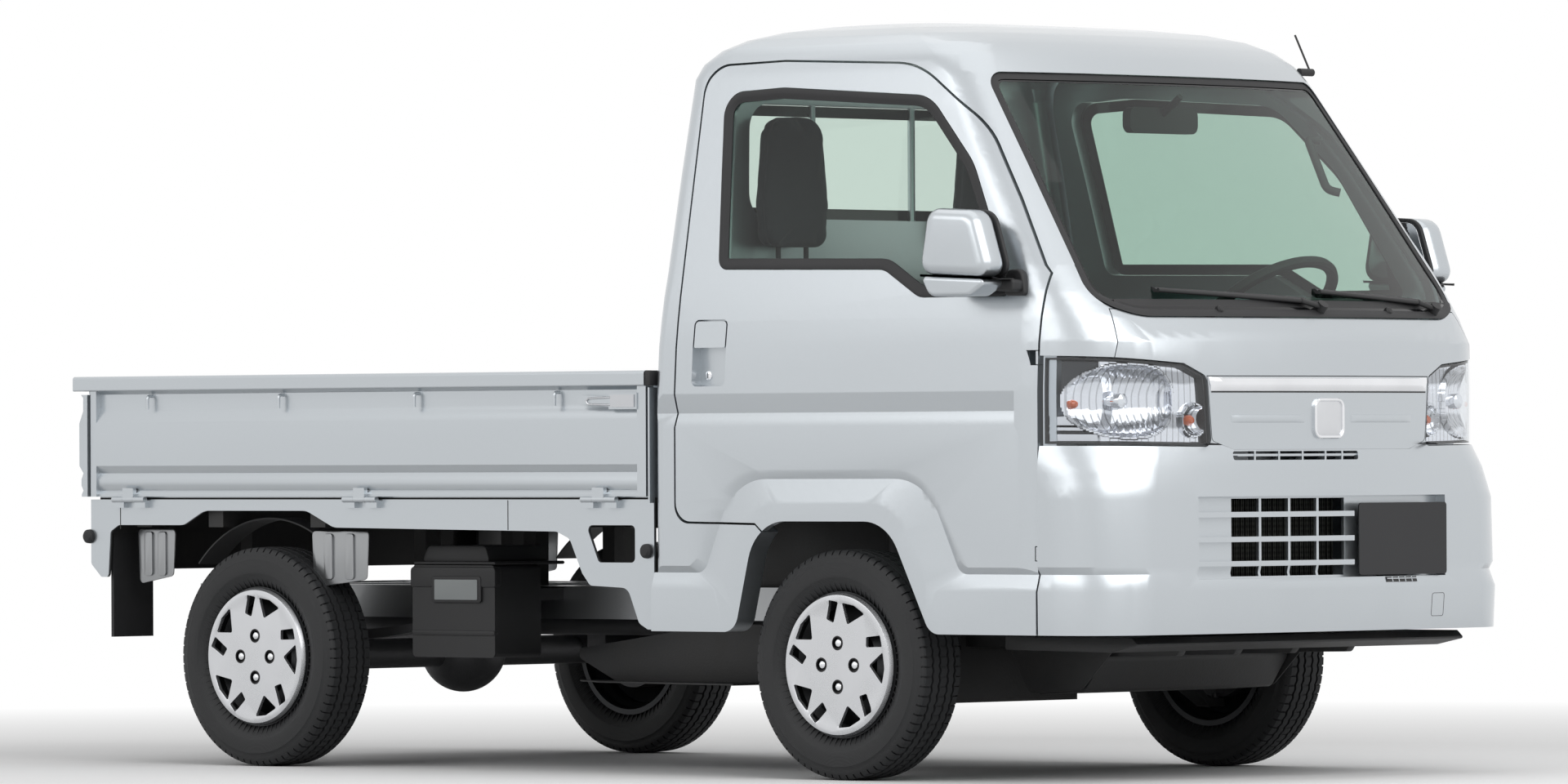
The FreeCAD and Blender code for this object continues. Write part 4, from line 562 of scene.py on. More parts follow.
def drawn_in(points, depth):
    """A closed line moved inwards by a depth."""
    area = sum(a.x * b.y - b.x * a.y for a, b in zip(points, points[1:] + points[:1]))
    turn = 1 if area > 0 else -1
    result = []
    for i, point in enumerate(points):
        along = (points[(i + 1) % len(points)] - points[i - 1]).normalized()
        result.append(point + Vector((-along.y, along.x)) * depth * turn)
    return result


def on_plane(plane, u, v, offset):
    return Vector({"xz": (u, offset, v), "yz": (offset, u, v), "xy": (u, v, offset)}[plane])


def slab_shape(points, plane, *ends):
    """A flat outline given a thickness."""
    outline = rounded(points)
    return skin([[on_plane(plane, p.x, p.y, end) for p in outline] for end in sorted(ends)])


def box_shape(x0, x1, y0, y1, z0, z1):
    return slab_shape(rect(x0, x1, y0, y1), "xy", z0, z1)


def ring(centre, side, up, radius, count):
    turns = [2 * math.pi * k / count for k in range(count)]
    return [centre + (side * math.cos(turn) + up * math.sin(turn)) * radius for turn in turns]


def lathe_shape(profile, centre, axis=(0, 1, 0), count=32):
    """A closed shape turned from (radius, place along the axis) points."""
    axis = Vector(axis).normalized()
    side = axis.orthogonal().normalized()
    rows = [ring(Vector(centre) + axis * along, side, axis.cross(side), radius, count)
            for radius, along in profile]
    return skin(rows, along=profile[0][0] > 0)


def tube_shape(points, radius, count, bend=0.0):
    """A round bar along points, with its bends rounded, and capped ends."""
    line = [Vector(p) for p in points]
    if bend:
        line = bent(line, bend)
    rows = []
    side = None
    for i, point in enumerate(line):
        along = (line[min(i + 1, len(line) - 1)] - line[max(i - 1, 0)]).normalized()
        side = (side - along * side.dot(along) if side else along.orthogonal()).normalized()
        rows.append(ring(point, side, along.cross(side), radius, count))
    return skin(rows)


def bent(line, bend, steps=5):
    """An open line with its corners rounded."""
    result = [line[0]]
    for before, corner, after in zip(line, line[1:], line[2:]):
        back = before - corner
        ahead = after - corner
        reach = min(bend, back.length * BEND_LIMIT, ahead.length * BEND_LIMIT)
        start = corner + back.normalized() * reach
        end = corner + ahead.normalized() * reach
        for t in spread(0, 1, steps):
            result.append(start * (1 - t) ** 2 + corner * 2 * t * (1 - t) + end * t ** 2)
    return result + [line[-1]]


# Shapes that follow a panel

OUTSIDE = 4.0
PATCH_POINTS = 72
PATCH_SHARES = (1.0, 0.8, 0.55, 0.25)


def surface_of(*names):
    """The faces of some nodes, for casting rays on."""
    meshes = [NODES[name].data for name in names]
    verts, faces = joined([([v.co for v in mesh.vertices], [face.vertices for face in mesh.polygons])
                           for mesh in meshes])
    return BVHTree.FromPolygons(verts, faces)


def cast_on(surface, plane, u, v, side):
    """The first point of a surface met from outside, on the side that a sign gives."""
    return surface.ray_cast(on_plane(plane, u, v, OUTSIDE * side), on_plane(plane, 0, 0, -side))[0]


def laid_on(surface, plane, side, points):
    """A row of (u, v, height) points laid on a surface; a point beside it takes the place of the last."""
    row = []
    hit = None
    for u, v, height in points:
        hit = cast_on(surface, plane, u, v, side) or hit
        row.append(hit + on_plane(plane, 0, 0, side * height))
    return row


def seal_shape(outline, plane, side, surface, loops, count):
    """A ring on curved panels: loops are (inset from the outline, height over the panel)."""
    line = resampled(rounded(outline), count)
    return skin([laid_on(surface, plane, side, [(p.x, p.y, height) for p in drawn_in(line, depth)])
                 for depth, height in loops], along=True)


def strip_shape(surface, rows):
    """A band lying on the front: rows of (y, z, height over the panel), the first and last low."""
    return skin([laid_on(surface, "yz", 1, row) for row in rows], around=False, along=True)


def level_rows(places, section):
    """Rows at the same places of y, one for each (z, height)."""
    return [[(y, z, height) for y in places] for z, height in section]


def patch_shape(surface, outline, side, height):
    """A thin sheet that follows a side panel inside an outline."""
    line = resampled(rounded(outline), PATCH_POINTS)
    middle = sum(line, Vector((0, 0))) / len(line)
    rows = []
    for share, lift in [(1.0, 0.0)] + [(share, height) for share in PATCH_SHARES]:
        row = []
        for p in line:
            q = middle.lerp(p, share)
            hit = cast_on(surface, "xz", q.x, q.y, side)
            if hit is None:
                near = surface.find_nearest(Vector((q.x, side * 0.7, q.y)))[0]
                hit = Vector((q.x, near.y, q.y))
            row.append(hit + Vector((0, side * lift, 0)))
        rows.append(row)
    return skin(rows)


# Windows, with outlines as in the body

SIDE_WINDOW = [(0.449, 1.172, 0.03), (0.397, 1.584, 0.055), (0.582, 1.592), (1.042, 1.562, 0.12),
               (1.201, 1.405, 0.2), (1.373, 1.099, 0.02), (1.084, 1.099, 0.06), (0.967, 1.164, 0.06)]
WINDSHIELD = [(-0.573, 1.614, 0.045), (0.573, 1.614, 0.045), (0.64, 1.085, 0.06), (0.54, 1.052, 0.2),
              (-0.54, 1.052, 0.2), (-0.64, 1.085, 0.06)]
REAR_WINDOW = rect(-0.44, 0.44, 1.298, 1.566, 0.06)

SEAL_LOOPS = [(0.001, 0.0), (0.001, 0.0075), (0.006, 0.0095), (0.016, 0.008), (0.022, 0.0045),
              (0.026, 0.0035), (0.0265, 0.0)]
SHIELD_LOOPS = [(0.001, 0.0), (0.001, 0.0045), (0.005, 0.006), (0.012, 0.005), (0.017, 0.003), (0.0175, 0.0)]
BORDER_LOOPS = [(0.016, 0.0), (0.016, 0.0006), (0.023, 0.0006), (0.023, 0.0)]


def window_rubbers():
    """The windows' rubbers and the dark border printed on the windshield."""
    for side, name in SIDES:
        glass = surface_of("door_glass_" + name)
        solid("window_rubber_" + name, seal_shape(SIDE_WINDOW, "xz", side, glass, SEAL_LOOPS, 200), RUBBER,
              "door_" + name)
    shield = surface_of("windshield", "cowl_panel")
    solid("windshield_rubber", seal_shape(WINDSHIELD, "yz", 1, shield, SHIELD_LOOPS, 240), RUBBER)
    solid("windshield_border", seal_shape(WINDSHIELD, "yz", 1, shield, BORDER_LOOPS, 240), GLOSS_BLACK)
    rear = surface_of("rear_window")
    solid("rear_window_rubber", seal_shape(REAR_WINDOW, "yz", -1, rear, SEAL_LOOPS, 160), RUBBER)


# Tyres and wheels

HUBS = {"front": 0.827, "rear": -1.073}
HUB_Y = 0.645
HUB_Z = 0.264
STUD_CIRCLE = 0.05
TYRE_PITCHES = 72
PITCH_STEPS = (0.0, 0.01, 0.17, 0.18, 0.38, 0.59, 0.8)
SLOT_STEPS = (0.01, 0.17)
TREAD_RADIUS = 0.264
TREAD_EDGE = 0.0575
TREAD_CROWN = 0.0022
ZIGZAG = 0.0022
GROOVE_DEPTH = 0.0075
SIDEWALL = [(0.0605, 0.2592), (0.0622, 0.2572), (0.0655, 0.2515), (0.0682, 0.2452), (0.0683, 0.2442),
            (0.0712, 0.234), (0.0719, 0.2332), (0.0724, 0.222), (0.0725, 0.21), (0.0717, 0.203),
            (0.0712, 0.2), (0.0702, 0.1985), (0.066, 0.189), (0.058, 0.1765), (0.052, 0.17),
            (0.05, 0.1675), (0.046, 0.1605)]
TREAD_GROOVES = (0.0135, 0.0365)
NUT = [(0.0, 0.0725), (0.004, 0.0722), (0.0078, 0.0705), (0.0103, 0.0672), (0.011, 0.0635),
       (0.0112, 0.0605), (0.0112, 0.0575), (0.0, 0.0575)]
NUT_WELL = [(0.01, 0.0625), (0.0147, 0.0625), (0.0147, 0.071), (0.0168, 0.071), (0.0168, 0.0714),
            (0.0142, 0.0714), (0.014, 0.064), (0.01, 0.064)]


def tread_lines():
    """Lines across the tread from its middle outwards: place, is in a groove, follows the zigzag."""
    lines = [(0.0, False, False), (0.0045, False, False)]
    for groove in TREAD_GROOVES:
        lines += [(groove - 0.0034, False, True), (groove - 0.0026, True, True),
                  (groove + 0.0026, True, True), (groove + 0.0034, False, True),
                  (groove + 0.0115, False, False)]
    return lines + [(0.054, False, False), (TREAD_EDGE, False, False)]


def tyre_shape():
    """A radial tyre: zigzag grooves, shoulder slots, moulded sidewall rings, closed at the beads."""
    half = [(y, TREAD_RADIUS - TREAD_CROWN * (y / TREAD_EDGE) ** 2, groove, zig)
            for y, groove, zig in tread_lines()]
    half += [(y, radius, False, False) for y, radius in SIDEWALL]
    section = [(-y, r, g, z) for y, r, g, z in reversed(half[1:])] + half
    rows = []
    for turn in range(TYRE_PITCHES * len(PITCH_STEPS)):
        pitch, which = divmod(turn, len(PITCH_STEPS))
        step = PITCH_STEPS[which]
        angle = 2 * math.pi * (pitch + step) / TYRE_PITCHES
        zig = 1 - 4 * abs(step - 0.5) if step else -1.0
        row = []
        for y, radius, groove, follows in section:
            depth = GROOVE_DEPTH if groove else 0.0
            if step in SLOT_STEPS and 0.044 < abs(y) < 0.065:
                depth = 0.0055
            if step in SLOT_STEPS and abs(y) < 0.006:
                depth = 0.002
            place = y + (zig * ZIGZAG if follows else 0.0)
            row.append(((radius - depth) * math.sin(angle), place, (radius - depth) * math.cos(angle)))
        rows.append(row)
    return skin(rows, along=True)


def at_studs(profile, count):
    """The same turned shape at each of a wheel's four studs."""
    places = [(STUD_CIRCLE * math.cos(angle), 0, STUD_CIRCLE * math.sin(angle))
              for angle in map(math.radians, (0, 90, 180, 270))]
    return joined([lathe_shape(profile, place, count=count) for place in places])


def wheels():
    """Tyres, black rings of painted shade in the caps' nut wells, and bright dome nuts, each from one mesh
    for all four wheels.
    """
    kinds = {"tyre_detail_": (tyre_shape(), TYRE_RUBBER, "tyre"),
             # Painted shade: the rings round the nuts are drawn black for the shade in the cap's wells.
             "nut_well_shade_": (at_studs(NUT_WELL, 28), GLOSS_BLACK, "wheel_silver"),
             "wheel_nuts_": (at_studs(NUT, 24), CHROME, "chrome")}
    meshes = {kind: mesh_of(kind + "front_left", shape) for kind, (shape, finish, slot) in kinds.items()}
    for end, x in HUBS.items():
        for side, name in SIDES:
            where = f"{end}_{name}"
            for kind, (shape, finish, slot) in kinds.items():
                is_tyre = kind == "tyre_detail_"
                piece = add_piece(kind + where, meshes[kind], finish, "wheel_" + where, slot,
                                  place=(x, side * HUB_Y, HUB_Z), turn=1 if is_tyre else side)
                if is_tyre:
                    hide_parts("tyre_" + where)


# Nose

BAR_SECTION = [(0.9155, -0.001), (0.9155, 0.004), (0.9125, 0.0075), (0.905, 0.0095), (0.897, 0.0085),
               (0.889, 0.005), (0.8845, 0.0015), (0.884, -0.001)]
SHADOW_SECTION = [(0.8838, -0.001), (0.8838, 0.0012), (0.8805, 0.0012), (0.8805, -0.001)]
PRESSING_SECTION = [(0.8125, -0.001), (0.8135, 0.0016), (0.8165, 0.0028), (0.826, 0.0028), (0.8295, 0.0016),
                    (0.8305, -0.001)]
BADGE_Z = 0.822
BADGE_LOOPS = [(0.0, -0.004), (0.0, 0.006), (0.0015, 0.0078), (0.0045, 0.0082), (0.0065, 0.007),
               (0.0075, 0.0045)]
NOSE_CURVE = 0.25
SLOT_LEVEL = 0.722


def chrome_bar():
    """The bright bar along the top of the garnish, its shadow line, and the two raised fields below."""
    surface = surface_of("nose_garnish")
    rows = []
    for z, height in BAR_SECTION:
        half = 0.3865 if z > 0.9 else 0.3825
        rows.append([(share * half, z, height * min(1.0, (1 - abs(share)) * 12 + 0.25))
                     for share in spread(-1, 1, 60)])
    solid("garnish_bright_bar", strip_shape(surface, rows), CHROME)
    solid("garnish_bar_shadow", strip_shape(surface, level_rows(spread(-0.38, 0.38, 40), SHADOW_SECTION)),
          GLOSS_BLACK)
    for side, name in SIDES:
        rows = [[(side * y, z, height * min(1.0, min(i, 24 - i) / 2.0 + 0.1))
                 for i, y in enumerate(spread(0.083, 0.319, 24))] for z, height in PRESSING_SECTION]
        solid("garnish_pressing_" + name, strip_shape(surface, rows), PAINT)


def blank_badge():
    """A plain rounded plaque with nothing on it."""
    centre = cast_on(surface_of("nose_garnish"), "yz", 0, BADGE_Z, 1)
    outline = resampled(rounded(rect(-0.052, 0.052, -0.046, 0.046, 0.022), 8), 96)

    def on_nose(points, height):
        return [centre + Vector((height - NOSE_CURVE * p.x * p.x, p.x, p.y)) for p in points]

    rim = [on_nose(drawn_in(outline, depth), height) for depth, height in BADGE_LOOPS]
    solid("badge_ring", skin(rim, along=True), CHROME)
    inner = drawn_in(outline, 0.0072)
    field = [on_nose(inner, -0.002)]
    for share in (1.0, 0.93, 0.8, 0.6, 0.35, 0.12):
        field.append(on_nose([p * share for p in inner], 0.0045 + 0.0035 * (1 - share ** 2.5)))
    solid("badge_field", skin(field), SATIN_SILVER)


def nose_slots():
    """Bars in the slot above the bumper."""
    surface = surface_of("front_bumper")
    bars = []
    for y in (-0.245, -0.165, -0.085, -0.005, 0.055):
        hit = cast_on(surface, "yz", y, SLOT_LEVEL, 1)
        bars.append(box_shape(hit.x - 0.022, hit.x - 0.004, y - 0.003, y + 0.003, 0.7275, 0.7485))
    line = [cast_on(surface, "yz", y, SLOT_LEVEL, 1) for y in spread(-0.3, 0.1, 20)]
    rows = [[Vector((p.x + dx, p.y, z)) for p in line]
            for dx, z in ((-0.018, 0.7405), (-0.005, 0.7405), (-0.005, 0.7365), (-0.018, 0.7365))]
    bars.append(skin(rows, around=False, along=True))
    solid("nose_slot_bars", joined(bars), PAINT, smoothed=False)


def bumper_low_fittings():
    """The small vent and the tow eye's cover in the lower bumper."""
    surface = surface_of("front_bumper")
    low, flat, high = -0.001, 0.002, 0.0035
    section = [(0.463, low), *[(z, flat) for z in (0.463, 0.459, 0.455, 0.451, 0.447)], (0.447, low)]
    solid("bumper_vent", strip_shape(surface, level_rows(spread(0.206, 0.32, 12), section)), GLOSS_BLACK,
          smoothed=False)
    bars = []
    for i in range(4):
        y = 0.226 + 0.0245 * i
        rows = [[(y + dy, z, height) for z in (0.4475, 0.451, 0.455, 0.459, 0.4625)]
                for dy, height in ((-0.0015, low), (-0.0015, high), (0.0015, high), (0.0015, low))]
        bars.append(strip_shape(surface, rows))
    section = [(0.4562, low), (0.4562, high), (0.454, high), (0.454, low)]
    bars.append(strip_shape(surface, level_rows(spread(0.207, 0.319, 8), section)))
    solid("bumper_vent_bars", joined(bars), PAINT, smoothed=False)
    loops = ((0.0, -0.001), (0.0, 0.0003), (0.0012, 0.0003), (0.0012, -0.001))
    seam = seal_shape(rect(0.378, 0.426, 0.366, 0.42, 0.006), "yz", 1, surface, loops, 64)
    solid("tow_cover_seam", seam, GLOSS_BLACK, smoothed=False)


# Headlamps

LAMP_AXIS = (1.46, 0.4)
LAMP_REACH = 0.235
LAMP_COLUMNS = 150
LAMP_ROWS = 64
LAMP_INNER = 0.3855
LAMP_FOOT = 0.76
LAMP_SLANT = 0.09
LAMP_FRONT = 0.222
LAMP_BACK_GAP = 0.012
LAMP_LENGTH = 0.56
LAMP_TOP_GAP = 0.0025
LAMP_LOW = [(0.381, 0.7625), (0.881, 0.7685)]
LAMP_TOP = [(0.38, 0.912), (0.395, 0.917), (0.458, 0.945), (0.631, 0.958), (0.8, 0.966)]
LAMP_MIDDLE = 0.86
MAIN_BOWL = (0.596, 0.862, 0.106, 0.08)
TURN_BOWL = (0.421, 0.818, 0.034)
WALL = 0.0015
BRIGHT, EDGE, SATIN, DARK = range(4)
HEAD_BULB = [(0.0, -0.02), (0.009, -0.021), (0.0165, -0.025), (0.0175, -0.031), (0.0175, -0.048),
             (0.012, -0.052), (0.012, -0.07), (0.0, -0.07)]
TURN_BULB = [(0.0, -0.01), (0.007, -0.0115), (0.0115, -0.017), (0.0125, -0.024), (0.01, -0.034),
             (0.0, -0.036)]
SIDE_BULB = [(0.0, 0.006), (0.007, 0.008), (0.0105, 0.014), (0.0105, 0.022), (0.007, 0.03), (0.0, 0.032)]


def between(points, value):
    for (a, low), (b, high) in zip(points, points[1:]):
        if value <= b:
            return low + (high - low) * (value - a) / (b - a)
    return points[-1][1]


def lamp_depth(point, edge):
    """How far behind the lens the bright inside stands, and which finish it has."""
    y, z = abs(point.y), point.z
    if edge < 0.0045:
        return 0.0015, EDGE
    cy, cz, ry, rz = MAIN_BOWL
    reach = ((abs(y - cy) / ry) ** 2.4 + (abs(z - cz) / rz) ** 2.4) ** (1 / 2.4)
    if reach < 1:
        flute = 0.0022 * abs(math.sin((y - cy) * math.pi / 0.017))
        fold = flute * min(1.0, max(0.0, (reach - 0.42) * 4))
        return 0.01 + 0.062 * (1 - reach ** 2.2) ** 0.8 + fold, BRIGHT
    if reach < 1.07:
        return 0.006, BRIGHT
    ty, tz, tr = TURN_BOWL
    turn = math.hypot(y - ty, z - tz) / tr
    if turn < 1:
        return 0.01 + 0.026 * (1 - turn ** 2) ** 0.7, BRIGHT
    if turn < 1.14:
        return 0.005, BRIGHT
    if y <= 0.66 or point.x >= 1.6:
        return 0.016, BRIGHT
    if point.x >= 1.592:
        return 0.02, DARK
    if point.x >= 1.574:
        return 0.004, BRIGHT
    if 0.829 < z < 0.879 and point.x > 1.47:
        return 0.034, BRIGHT
    if 0.789 < z < 0.794 or 0.803 < z < 0.808:
        return 0.024, DARK
    if z < 0.829:
        return 0.012, SATIN
    return 0.026, DARK


def headlamp(side, name):
    """A lamp's inside behind the lens, as one folded sheet, and its three bulbs."""
    lens = surface_of("headlamp_lenses")
    axis_y = side * LAMP_AXIS[1]

    def lens_at(x, y, z, way):
        return lens.ray_cast(Vector((x, y, z)), Vector(way))[0]

    rows = []
    kinds = []
    for share in spread(0, 1, LAMP_COLUMNS):
        row = []
        for rise in spread(0, 1, LAMP_ROWS):
            z = LAMP_MIDDLE
            for _ in range(2):
                inner = LAMP_INNER + (z - LAMP_FOOT) * LAMP_SLANT
                start = math.atan2(inner - LAMP_AXIS[1], LAMP_FRONT)
                angle = start + (math.pi / 2 - LAMP_BACK_GAP - start) * share
                way = Vector((math.cos(angle), side * math.sin(angle), 0))
                hit = lens_at(LAMP_AXIS[0], axis_y, z, way)
                hit = hit or Vector((LAMP_AXIS[0], axis_y, z)) + way * LAMP_REACH
                low = between(LAMP_LOW, abs(hit.y))
                high = between(LAMP_TOP, abs(hit.y)) - LAMP_TOP_GAP
                z = low + (high - low) * rise
            hit = lens_at(LAMP_AXIS[0], axis_y, z, way) or Vector((hit.x, hit.y, z))
            edge = min(min(share, 1 - share) * LAMP_LENGTH, min(rise, 1 - rise) * (high - low))
            depth, kind = lamp_depth(hit, edge)
            row.append(hit - way * depth)
            kinds.append(kind)
        rows.append(row)
    verts, faces = skin(rows, around=False)
    piece = solid("headlamp_inside_" + name, (verts, faces), REFLECTOR)
    for finish in (TRIM_BLACK, SATIN_SILVER, LAMP_DARK):
        piece.data.materials.append(finish)
    for polygon, face in zip(piece.data.polygons, faces):
        polygon.material_index = max((kinds[v] for v in face), key=lambda kind: (kind == EDGE, kind))
    modifier(piece, "wall", "SOLIDIFY", thickness=WALL, offset=0)
    piece.modifiers.move(1, 0)
    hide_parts("headlamp_housings")
    front = lens_at(LAMP_AXIS[0], side * MAIN_BOWL[0], MAIN_BOWL[1], (1, 0, 0))
    solid("headlamp_bulb_" + name, lathe_shape(HEAD_BULB, front, (1, 0, 0), 28), CHROME, "truck",
          "lamp_housing")
    turn_front = lens_at(LAMP_AXIS[0], side * TURN_BOWL[0], TURN_BOWL[1], (1, 0, 0))
    solid("turn_lamp_bulb_" + name, lathe_shape(TURN_BULB, turn_front, (1, 0, 0), 24), AMBER)
    mark = lens_at(1.513, axis_y, 0.855, (0, side, 0))
    solid("side_marker_bulb_" + name, lathe_shape(SIDE_BULB, mark, (0, -side, 0), 24), AMBER)


# Seats

SEAT_Y = 0.345
SEAT_HALF = 0.205
AIR_PRESSURE = 4.0
FILL_FRAMES = 20
SEAM_DEPTH = 0.007
SEAM_WIDTH = 0.007
ALL_ROUND = 9.0
LEAN_FROM = 0.74


def final_mesh(piece):
    graph = bpy.context.evaluated_depsgraph_get()
    return bpy.data.meshes.new_from_object(piece.evaluated_get(graph))


def filled(piece, held, cap):
    """Blows a cushion up between its seams, which stay where they are."""
    mesh = piece.data
    group = piece.vertex_groups.new(name="seams")
    group.add([v.index for v in mesh.vertices if held(v.co)], 1.0, "ADD")
    cloth = piece.modifiers.new("fill", "CLOTH").settings
    cloth.quality = 4
    cloth.use_pressure = True
    cloth.uniform_pressure_force = AIR_PRESSURE
    cloth.effector_weights.gravity = 0
    cloth.vertex_group_mass = "seams"
    for step in range(1, FILL_FRAMES + 1):
        bpy.context.scene.frame_set(step)
    result = final_mesh(piece)
    for vertex, blown in zip(mesh.vertices, result.vertices):
        shift = blown.co - vertex.co
        if shift.length > cap:
            shift = shift * (cap / shift.length)
        vertex.co = vertex.co + shift
    bpy.data.meshes.remove(result)
    piece.modifiers.clear()
    piece.vertex_groups.clear()
    bpy.context.scene.frame_set(1)


def sewn(mesh, depth_axis, edge, front=ALL_ROUND, half=0.0, row_axis=0, rows=()):
    """Draws the cover in: one seam round the edge, two along the front and rows across between them."""
    normals = [v.normal.copy() for v in mesh.vertices]
    for vertex, normal in zip(mesh.vertices, normals):
        across = abs(vertex.co.y - SEAT_Y)
        gaps = [vertex.co[depth_axis] - edge]
        if vertex.co[depth_axis] >= front:
            gaps.append(across - half)
            if across <= half:
                gaps += [vertex.co[row_axis] - row for row in rows]
        gap = min(abs(g) for g in gaps)
        vertex.co -= normal * SEAM_DEPTH * math.exp(-(gap / SEAM_WIDTH) ** 2)


def covered(piece):
    """Rounds a cushion a last time and lets it ride on the truck."""
    modifier(piece, "even_curve", "SUBSURF", levels=1, render_levels=1)
    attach(piece, "truck")


def cushion(name, outline, plane, ends, rolled, voxel, held, cap, seams, lean=0.0):
    """A padded piece from a flat outline: rounded, blown up, sewn, and leant back as it rises."""
    block = mesh_of(name, slab_shape(outline, plane, *ends), rolled)
    piece = linked(name, block)
    modifier(piece, "even", "REMESH", mode="VOXEL", voxel_size=voxel)
    even = final_mesh(piece)
    piece.modifiers.clear()
    piece.data = even
    bpy.data.meshes.remove(block)
    filled(piece, held, cap)
    sewn(even, *seams)
    for v in even.vertices:
        v.co.x -= lean * (v.co.z - LEAN_FROM)
    even.materials.append(CLOTH)
    for face in even.polygons:
        face.use_smooth = True
    return piece


def seats():
    half = SEAT_HALF
    near, far = SEAT_Y - half, SEAT_Y + half
    base = cushion("seat_cushion_left", [(0.385, near, 0.05), (0.905, near, 0.06), (0.905, far, 0.06),
                                         (0.385, far, 0.05)], "xy", (0.65, 0.762), 0.03, 0.009,
                   lambda p: p.z < 0.7 and (abs(p.y - SEAT_Y) > half - 0.012 or p.x > 0.89 or p.x < 0.4),
                   0.018, (2, 0.712, 0.72, 0.13, 0, (0.6, 0.76)))
    back = cushion("seat_back_left", [(near, 0.765, 0.05), (far, 0.765, 0.05), (SEAT_Y + 0.175, 1.172, 0.07),
                                      (SEAT_Y - 0.175, 1.172, 0.07)], "yz", (0.362, 0.452), 0.03, 0.009,
                   lambda p: p.x < 0.39 and (abs(p.y - SEAT_Y) > half - 0.03 or p.z > 1.15),
                   0.016, (0, 0.405, 0.42, 0.118, 2, (0.94, 1.07)), 0.042 / 0.45)
    outline = [(-0.098, 1.228, 0.035), (0.098, 1.228, 0.035), (0.108, 1.33, 0.06), (0.085, 1.535, 0.055),
               (-0.085, 1.535, 0.055), (-0.108, 1.33, 0.06)]
    head = cushion("headrest_left", [(SEAT_Y + y, z, radius) for y, z, radius in outline], "yz",
                   (0.316, 0.384), 0.026, 0.007, lambda p: abs(p.x - 0.35) < 0.006, 0.012, (0, 0.35))
    for piece, fill in ((base, 0.6), (back, 0.5), (head, 0.7)):
        covered(piece)
        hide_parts("seats")
        twin = linked(piece.name.replace("left", "right"), piece.data)
        twin.location.y = -2 * SEAT_Y
        covered(twin)
    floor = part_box("seats")[0][2]
    for side, name in SIDES:
        y = side * SEAT_Y
        plinth = [(0.375, floor, 0.01), (0.88, floor, 0.02), (0.905, 0.62, 0.03), (0.895, 0.652, 0.01),
                  (0.375, 0.652, 0.02)]
        solid("seat_base_" + name, slab_shape(plinth, "xz", y - 0.2, y + 0.2), TRIM_GREY, bevel=0.006)
        posts = []
        for post_y in (y + 0.048, y - 0.048):
            posts.append(tube_shape([(0.35, post_y, 1.155), (0.35, post_y, 1.25)], 0.0062, 16))
            posts.append(lathe_shape([(0.0, 0.0), (0.015, 0.0), (0.014, 0.012), (0.009, 0.015), (0.0, 0.015)],
                                     (0.35, post_y, 1.172), (0, 0, 1), 20))
        solid("headrest_posts_" + name, joined(posts), TRIM_BLACK)


# Inside the cab

def cab_inside():
    """The instrument hood, tray lip, vents, the bars behind the rear window, and the grip."""
    hood = [(1.3, 1.035, 0.01), (1.315, 1.105, 0.03), (1.385, 1.1, 0.03), (1.44, 1.036, 0.01)]
    solid("instrument_hood", slab_shape(hood, "xz", 0.15, 0.51), TRIM_GREY, bevel=0.012, steps=3)
    lip = [(1.325, -0.5, 0.03), (1.45, -0.5, 0.02), (1.45, -0.13, 0.02), (1.325, -0.13, 0.03)]
    solid("dash_tray_lip", slab_shape(lip, "xy", 1.036, 1.046), TRIM_GREY, bevel=0.004)
    vents = [box_shape(1.292, 1.302, y - 0.045, y + 0.045, 0.955 + k * 0.012, 0.961 + k * 0.012)
             for y in (-0.5, -0.09, 0.09, 0.52) for k in range(5)]
    solid("dash_vents", joined(vents), TRIM_BLACK, bevel=0.0015)
    bars = [tube_shape([(0.258, y, 1.286), (0.258, y, 1.578)], 0.009, 14) for y in (-0.175, 0.175)]
    solid("rear_window_bars", joined(bars), PAINT)
    grip = [(1.215, 0.548, 1.475), (1.19, 0.53, 1.482), (1.255, 0.522, 1.36), (1.28, 0.54, 1.352)]
    solid("pillar_grip", tube_shape(grip, 0.01, 14, 0.03), TRIM_GREY)


# Bed

STOP_KNOB = [(0.0, -0.006), (0.014, -0.006), (0.0175, -0.002), (0.0165, 0.008), (0.011, 0.0135), (0.0, 0.015)]
LATCH_WIRE = [(0.135, 0.88), (0.06, 0.878), (0.052, 0.871), (0.06, 0.864), (0.135, 0.862)]


def bed_trim():
    """Rubber stops and end blocks, the skirts' seams, and the side gates' latches."""
    blocks = []
    knobs = []
    seams = []
    for side, name in SIDES:
        blocks.append(box_shape(0.2425, 0.259, side * 0.7055, side * 0.7365, 0.9065, 0.9415))
        for x, z in ((0.231, 0.522), (-1.647, 0.552)):
            knobs.append(lathe_shape(STOP_KNOB, (x, side * 0.7165, z), (0, side, 0), 28))
        for x in (-0.221, -1.539):
            seams.append(box_shape(x - 0.0012, x + 0.0012, side * 0.7158, side * 0.7164, 0.57, 0.64))
    solid("rail_end_blocks", joined(blocks), RUBBER, bevel=0.003)
    solid("bed_rubber_stops", joined(knobs), RUBBER)
    solid("skirt_seams", joined(seams), GLOSS_BLACK, smoothed=False)
    for side, name in SIDES:
        latch = [box_shape(0.132, 0.208, side * 0.7335, side * 0.7368, 0.857, 0.886),
                 tube_shape([(x, side * 0.7345, z) for x, z in LATCH_WIRE], 0.0024, 10, 0.006)]
        solid("gate_latch_" + name, joined(latch), STEEL, "side_gate_" + name, bevel=0.001)


# Below the bed

